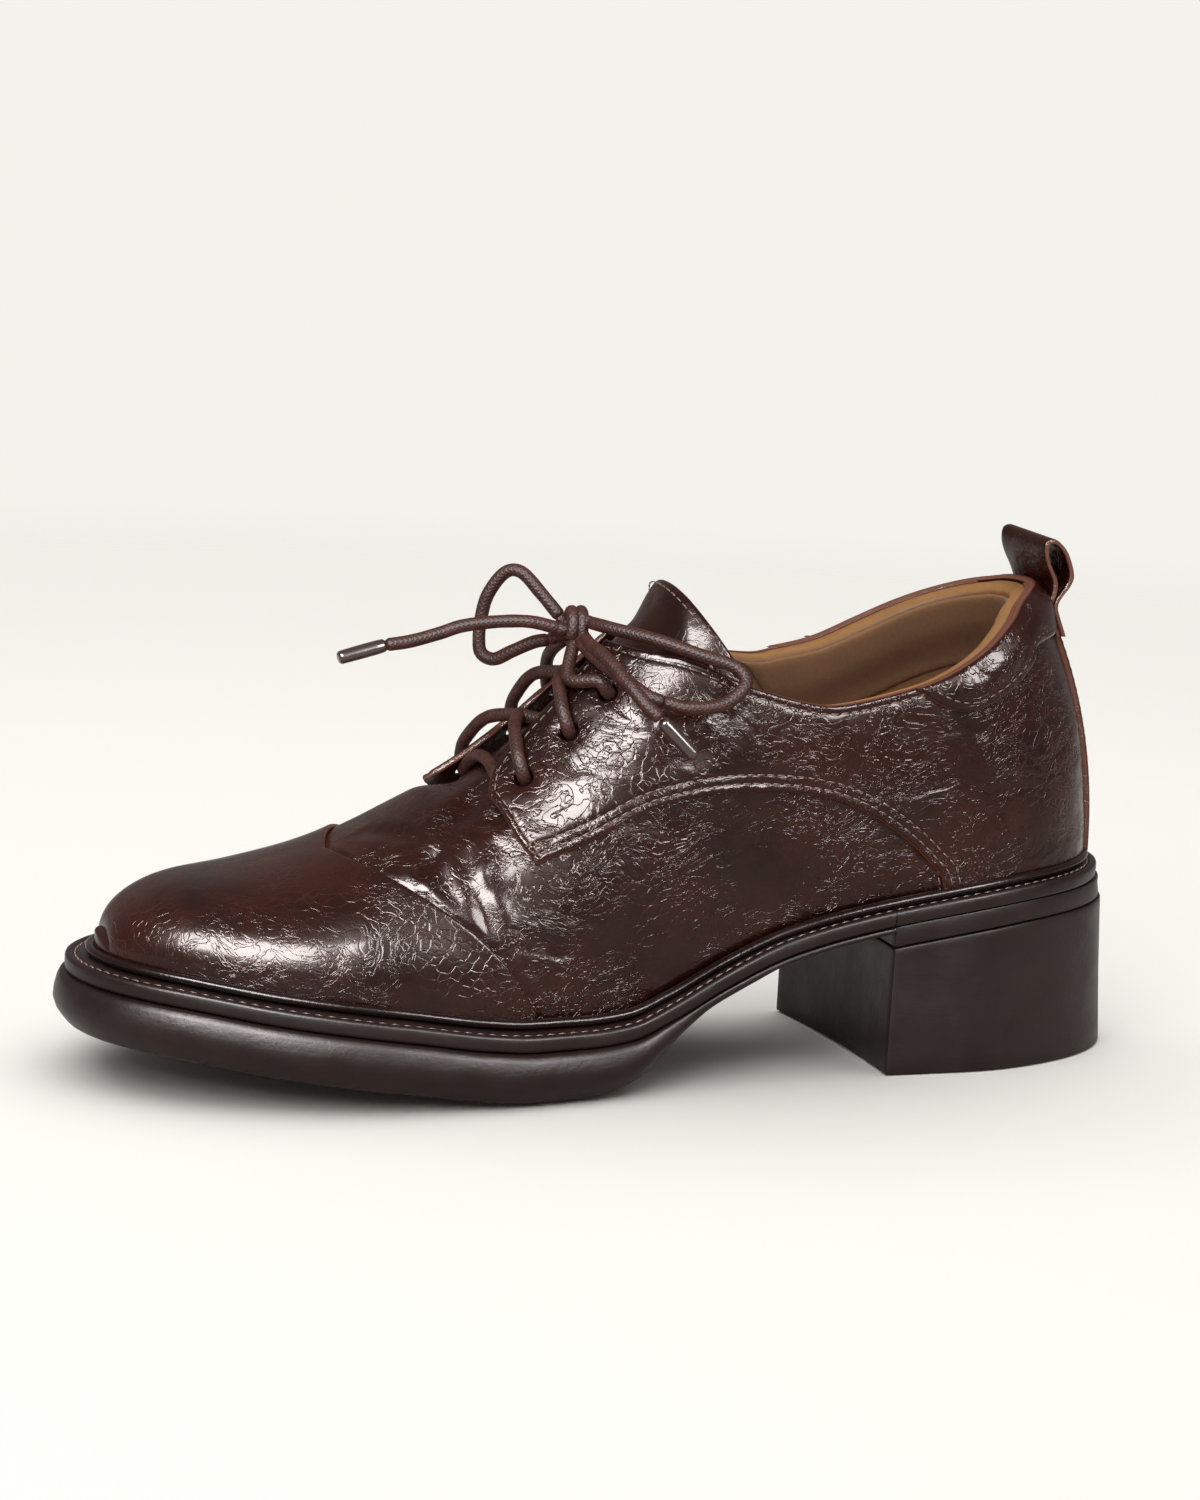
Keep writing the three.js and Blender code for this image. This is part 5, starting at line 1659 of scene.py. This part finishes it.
def tread_depth(a):
    return WAIST + (TREAD - WAIST) * sole_thick(a / LENGTH)


def make_outsole():
    rings = []
    for down, out in TREAD_WALL:
        rings.append(sole_ring(
            lambda a, out=out: out * TREAD_BULGE * np.maximum(sole_thick(a / LENGTH), LEAST_BULGE),
            lambda a, down=down: lift_top(a) - down * tread_depth(a),
        ))
    points, faces = hoop(rings, closed=False)
    points[:, 0] = np.maximum(points[:, 0], breast_line(points[:, 1], GAP))
    piece = new_mesh("outsole_tread", place(points), faces, "sole_rubber")
    finish_piece(closed_piece(piece), "sole_rubber", "outsole")


# The heel

# Shares of its height, and a table of share, inset and rake
HEEL_LEVELS = (0, 0.12, 0.25, 0.4, 0.55, 0.7, 0.85, 0.95, 1.0)
HEEL_FORM = np.array([[0, 1.2, 1], [0.5, 1.2, 0.72], [1, 0.6, 0.42]])
HEEL_TURN = 0.42
HEEL_STEPS = 440
HEEL_PITCH = 1.4
BREAST_STEPS = 26
LIFT_UPRIGHT = 2


def heel_loop(inset, rake, height):
    """A level of the heel: round the back, then across the hollow front face."""
    a, b = edge(np.linspace(-HEEL_TURN, HEEL_TURN, HEEL_STEPS), -inset)
    keep = a <= breast_line(b)
    around = resampled(np.stack([a[keep], b[keep]], -1), HEEL_PITCH)
    across = np.linspace(around[-1, 1], around[0, 1], BREAST_STEPS)
    loop = np.vstack([around[1:-1], np.stack([breast_line(across), across], -1)])
    z = height(loop[:, 0])
    behind = np.maximum(HEEL_CENTRE - loop[:, 0], 0) / HEEL_CENTRE
    loop[:, 0] -= HEEL_RAKE * rake * behind**2
    return np.hstack([loop, z[:, None]])


def loft_heel(name, levels, bevel):
    rings = [heel_loop(*level) for level in levels]
    count = min(len(ring) for ring in rings)
    rings = [
        np.vstack([spread(ring[:-BREAST_STEPS], count - BREAST_STEPS), ring[-BREAST_STEPS:]])
        for ring in rings
    ]
    top = (len(rings) - 1) * count
    faces = []
    for low in range(0, top, count):
        faces += ring_faces(low, low + count, count)
    faces += [list(range(count))[::-1], list(range(top, top + count))]
    piece = closed_piece(new_mesh(name, place(np.vstack(rings)), faces, "heel_rubber"))
    piece.select_set(True)
    bpy.context.view_layer.objects.active = piece
    rounding = piece.modifiers.new("rounding", "BEVEL")
    rounding.width = bevel * MM
    rounding.segments = 2
    rounding.limit_method = "ANGLE"
    rounding.angle_limit = math.radians(50)
    bpy.ops.object.modifier_apply(modifier=rounding.name)
    bpy.ops.object.shade_smooth_by_angle(angle=math.radians(40))
    piece.select_set(False)
    return piece


def make_heel():
    levels = []
    for share in HEEL_LEVELS:
        inset, rake = (np.interp(share, HEEL_FORM[:, 0], HEEL_FORM[:, k]) for k in (1, 2))
        levels.append(
            (inset * LIFT_INSET, rake, lambda a, share=share: share * (lift_bottom(a) - GAP))
        )
    finish_piece(loft_heel("heel_block", levels, 0.5), "sole_rubber", "heel")
    below, above = LIFT_RAKE
    lift = [
        (LIFT_INSET, below, lift_bottom),
        (LIFT_INSET, above, lambda a: lift_top(a) - LIFT_UPRIGHT),
        (LIFT_INSET, above, lift_top),
    ]
    finish_piece(loft_heel("heel_lift_layer", lift, 0.35), "sole_rubber", "heel_lift")


# Laces

# Heights off the last in millimetres: over the flaps, under them, in a hole and at its mouth
OVER = GAP + LEATHER + GAP + LACE / 2
UNDER = GAP / 2 - LACE_ROOM / 2
IN_HOLE = -2.6
HOLE_MOUTH = -0.6

# A strand's course: share of the way to the eyelet across, and height off the last
STRAND = [
    [0, IN_HOLE], [0, HOLE_MOUTH], [0.012, GAP + LEATHER], [0.05, OVER - 0.25], [0.12, OVER + 0.5],
    [0.3, OVER], [0.5, 0.25 * LACE], [0.7, UNDER + 0.05 * LACE], [0.8, UNDER], [0.93, UNDER],
    [1.0, -2.0],
]

# The bar's turn past the lowest hole's, and its course across, as shares of the half width
BAR_FORWARD = 0.014
BAR_SHARES = [-0.3, -0.26, -0.1, 0.04, 0.2, 0.33, 0.38]

# The top strands: turn past the hole's, share across, and lift as a share of the lace
TOP_STRANDS = {
    "outer": [(0.002, -0.31, 0.05), (0.013, -0.2, 0.3)],
    "inner": [(0, 0.38, 0), (0.002, 0.24, 0.35)],
}
KNOT_REACH = 3.4

# The cord wrapped round the knot: its steps, its turning in degrees, its size and thickness
WRAP_STEPS = 24
WRAP_START = -120
WRAP_STEP = 25
WRAP_WIDTH = 3.9
WRAP_DEPTH = 3.0
WRAP_HEIGHT = 4.1
WRAP_RADIUS = 1.55

# The loops' ways back into the knot, behind the end's cord
RETURNS = {
    "lace_loop_outer": [
        [131.5, -28.6, 93.2], [135, -25, 95.6], [138.4, -18, 98.2], [140.8, -9, 101.2],
    ],
    "lace_loop_inner": [[144.6, 1.5, 102.6]],
}

# What each of the bow's cords ends in
FAR_ENDS = {
    "lace_loop_outer": "knot", "lace_loop_inner": "knot",
    "lace_end_outer": "fitting", "lace_end_inner": "fitting",
}
AGLET_FORM = [0.837, 0.9, 0.9, 0.9, 0.882, 0.846]


def spot(turn, across, out):
    """A point over the last, found by its place across the shoe."""
    middle_line = last_at(turn, 1)[1]
    outer = across < middle_line
    way = turn if outer == (turn < 1) else 2 - turn
    reach = abs(across - middle_line)
    rise = halved(0.3, 1.0, 24, lambda q: abs(last_at(way, q)[1] - middle_line) > reach)
    return surface(np.float64(way), np.float64(rise), out)


def eye(side, row):
    turn, rise = EYELETS[side][row]
    return min(turn, 2 - turn), last_at(turn, rise)[1]


def strand(start, end):
    (turn0, across0), (turn1, across1) = start, end
    return [
        spot(turn0 + (turn1 - turn0) * reach, across0 + (across1 - across0) * reach, out)
        for reach, out in STRAND
    ]


def make_lacing():
    for name, row in (("low", 0), ("high", 1)):
        for side, other in (("outer", "inner"), ("inner", "outer")):
            course = strand(eye(side, row), eye(other, row + 1))
            piece, _ = lace_piece(f"lace_strand_{name}_{side}", course, seed=row + 3)
            finish_piece(piece, "lace_cord", f"lace_crossing_{name}")
    turn = EYELETS["outer"][0][0] + BAR_FORWARD
    course = [spot(turn, share * HALF_WIDTH, UNDER) for share in BAR_SHARES]
    piece, _ = lace_piece("lace_bar_cord", course, seed=8)
    finish_piece(piece, "lace_cord", "lace_bar")
    for side, rows in TOP_STRANDS.items():
        turn, across = eye(side, 2)
        course = [spot(turn, across, out) for out in (IN_HOLE, HOLE_MOUTH, GAP + LEATHER / 2)]
        for forward, share, lift in rows:
            course.append(spot(turn + forward, share * HALF_WIDTH, OVER + lift * LACE))
        way = course[-1] - np.array(KNOT)
        course.append(np.array(KNOT) + way / np.linalg.norm(way) * KNOT_REACH)
        piece, _ = lace_piece(f"lace_top_cord_{side}", course, seed=11)
        finish_piece(piece, "lace_cord", f"lace_top_{side}")


def make_knot():
    """One cord wrapped round the others, whose own ends are tucked under it."""
    middle = np.array(KNOT)
    wrap = []
    for k in range(WRAP_STEPS + 1):
        angle = math.radians(WRAP_START + k * WRAP_STEP)
        shift = (k / WRAP_STEPS - 0.5) * WRAP_WIDTH
        wrap.append(middle + [shift, -WRAP_DEPTH * math.sin(angle), WRAP_HEIGHT * math.cos(angle)])
    parts = [wrap]
    for route in ROUTES.values():
        start, following = np.array(route[:2], float)
        way = (following - start) / np.linalg.norm(following - start)
        parts.append([start + way * 0.4, start - way * 1.6, middle + (start - middle) * 0.25])
    for name, course in RETURNS.items():
        parts.append([ROUTES[name][-1], *course, middle + [0, 0, -1]])
    points, faces, uvs = [], [], []
    for k, part in enumerate(parts):
        at, corners, uv, _ = tube(part, WRAP_RADIUS, wave=CORD_WAVE, seed=k)
        start = sum(len(p) for p in points)
        points.append(at)
        uvs.append(uv)
        faces += [[start + c for c in face] for face in corners]
    points = place(np.vstack(points))
    piece = new_mesh("lace_knot_cord", points, faces, "lace", uv=np.vstack(uvs))
    return finish_piece(closed_piece(piece), "lace_cord", "lace_knot")


def make_aglet(name):
    start, end = np.array(AGLETS[name], float)
    way = end - start
    points = [start - way * 0.02, start + way * 0.33, start + way * 0.66, end]
    radii = np.array(AGLET_FORM) * AGLET / 2
    at, faces, uv, _ = tube(points, radii, sides=20, step=0.5)
    piece = new_mesh(f"{name}_sleeve", place(at), faces, "aglet", uv=uv)
    return finish_piece(closed_piece(piece), "aglet_plastic", name)


def make_bow():
    knot = make_knot()
    for k, (name, far_end) in enumerate(FAR_ENDS.items()):
        piece, path = lace_piece(f"{name}_cord", ROUTES[name], seed=20 + k)
        finish_piece(piece, "lace_cord", name)
        extra = [knot] if k == 0 else []
        if far_end == "fitting":
            extra.append(make_aglet(name.replace("lace_end", "aglet")))


# Operators


class SHOE_OT_camera(bpy.types.Operator):
    """Place the camera as the photograph was taken"""

    bl_idname = "shoe.camera"
    bl_label = "Camera"

    def execute(self, context):
        place_camera()
        return {"FINISHED"}


class SHOE_OT_laces(bpy.types.Operator):
    """Run the laces through the eyelets and tie the bow"""

    bl_idname = "shoe.laces"
    bl_label = "Laces"

    def execute(self, context):
        make_bow()
        make_lacing()
        return {"FINISHED"}


class SHOE_OT_vamp(bpy.types.Operator):
    """Make the vamp with its tongue, and the toe cap over it"""

    bl_idname = "shoe.vamp"
    bl_label = "Vamp and Toe Cap"

    def execute(self, context):
        make_vamp()
        make_toe_cap()
        return {"FINISHED"}


class SHOE_OT_quarters(bpy.types.Operator):
    """Make the two quarters with their eyelet flaps"""

    bl_idname = "shoe.quarters"
    bl_label = "Quarters"

    def execute(self, context):
        make_quarter("outer")
        make_quarter("inner")
        return {"FINISHED"}


class SHOE_OT_back(bpy.types.Operator):
    """Make the collar panel, the strip up the back and the pull loop"""

    bl_idname = "shoe.back"
    bl_label = "Collar and Pull Loop"

    def execute(self, context):
        make_collar()
        make_back_strip()
        make_pull_loop()
        return {"FINISHED"}


class SHOE_OT_lining(bpy.types.Operator):
    """Make the lining, the suede pad and the insole"""

    bl_idname = "shoe.lining"
    bl_label = "Lining"

    def execute(self, context):
        make_lining()
        make_suede_pad()
        make_insole()
        return {"FINISHED"}


class SHOE_OT_sole(bpy.types.Operator):
    """Make the rand, the stitched ledge and the tread"""

    bl_idname = "shoe.sole"
    bl_label = "Sole"

    def execute(self, context):
        make_rand()
        make_midsole()
        make_outsole()
        return {"FINISHED"}


class SHOE_OT_heel(bpy.types.Operator):
    """Make the heel block and its lift"""

    bl_idname = "shoe.heel"
    bl_label = "Heel"

    def execute(self, context):
        make_heel()
        return {"FINISHED"}


class SHOE_OT_stage(bpy.types.Operator):
    """Set the pale floor, the backdrop and the soft lights"""

    bl_idname = "shoe.stage"
    bl_label = "Stage"

    def execute(self, context):
        make_stage()
        return {"FINISHED"}


class SHOE_PT_panel(bpy.types.Panel):
    """Sizes, colours and pieces of the shoe"""

    bl_label = "Heeled Derby Shoe"
    bl_idname = "SHOE_PT_panel"
    bl_space_type = "VIEW_3D"
    bl_region_type = "UI"
    bl_category = "Shoe"

    def draw(self, context):
        for name in ShoeSettings.__annotations__:
            self.layout.prop(context.scene.shoe, name)
        for operator in OPERATORS:
            self.layout.operator(operator.bl_idname)


OPERATORS = (
    SHOE_OT_camera, SHOE_OT_laces, SHOE_OT_vamp, SHOE_OT_quarters, SHOE_OT_back,
    SHOE_OT_lining, SHOE_OT_sole, SHOE_OT_heel, SHOE_OT_stage,
)
CLASSES = (ShoeSettings, *OPERATORS, SHOE_PT_panel)


def register():
    for each in CLASSES:
        bpy.utils.register_class(each)
    bpy.types.Scene.shoe = PointerProperty(type=ShoeSettings)


def unregister():
    del bpy.types.Scene.shoe
    for each in reversed(CLASSES):
        bpy.utils.unregister_class(each)


def main():
    register()
    bpy.ops.object.select_all(action="DESELECT")
    bpy.ops.shoe.camera()
    bpy.ops.shoe.laces()
    bpy.ops.shoe.vamp()
    bpy.ops.shoe.quarters()
    bpy.ops.shoe.back()
    bpy.ops.shoe.lining()
    bpy.ops.shoe.sole()
    bpy.ops.shoe.heel()
    bpy.ops.shoe.stage()
    bpy.ops.object.select_all(action="DESELECT")


if __name__ == "__main__":
    main()
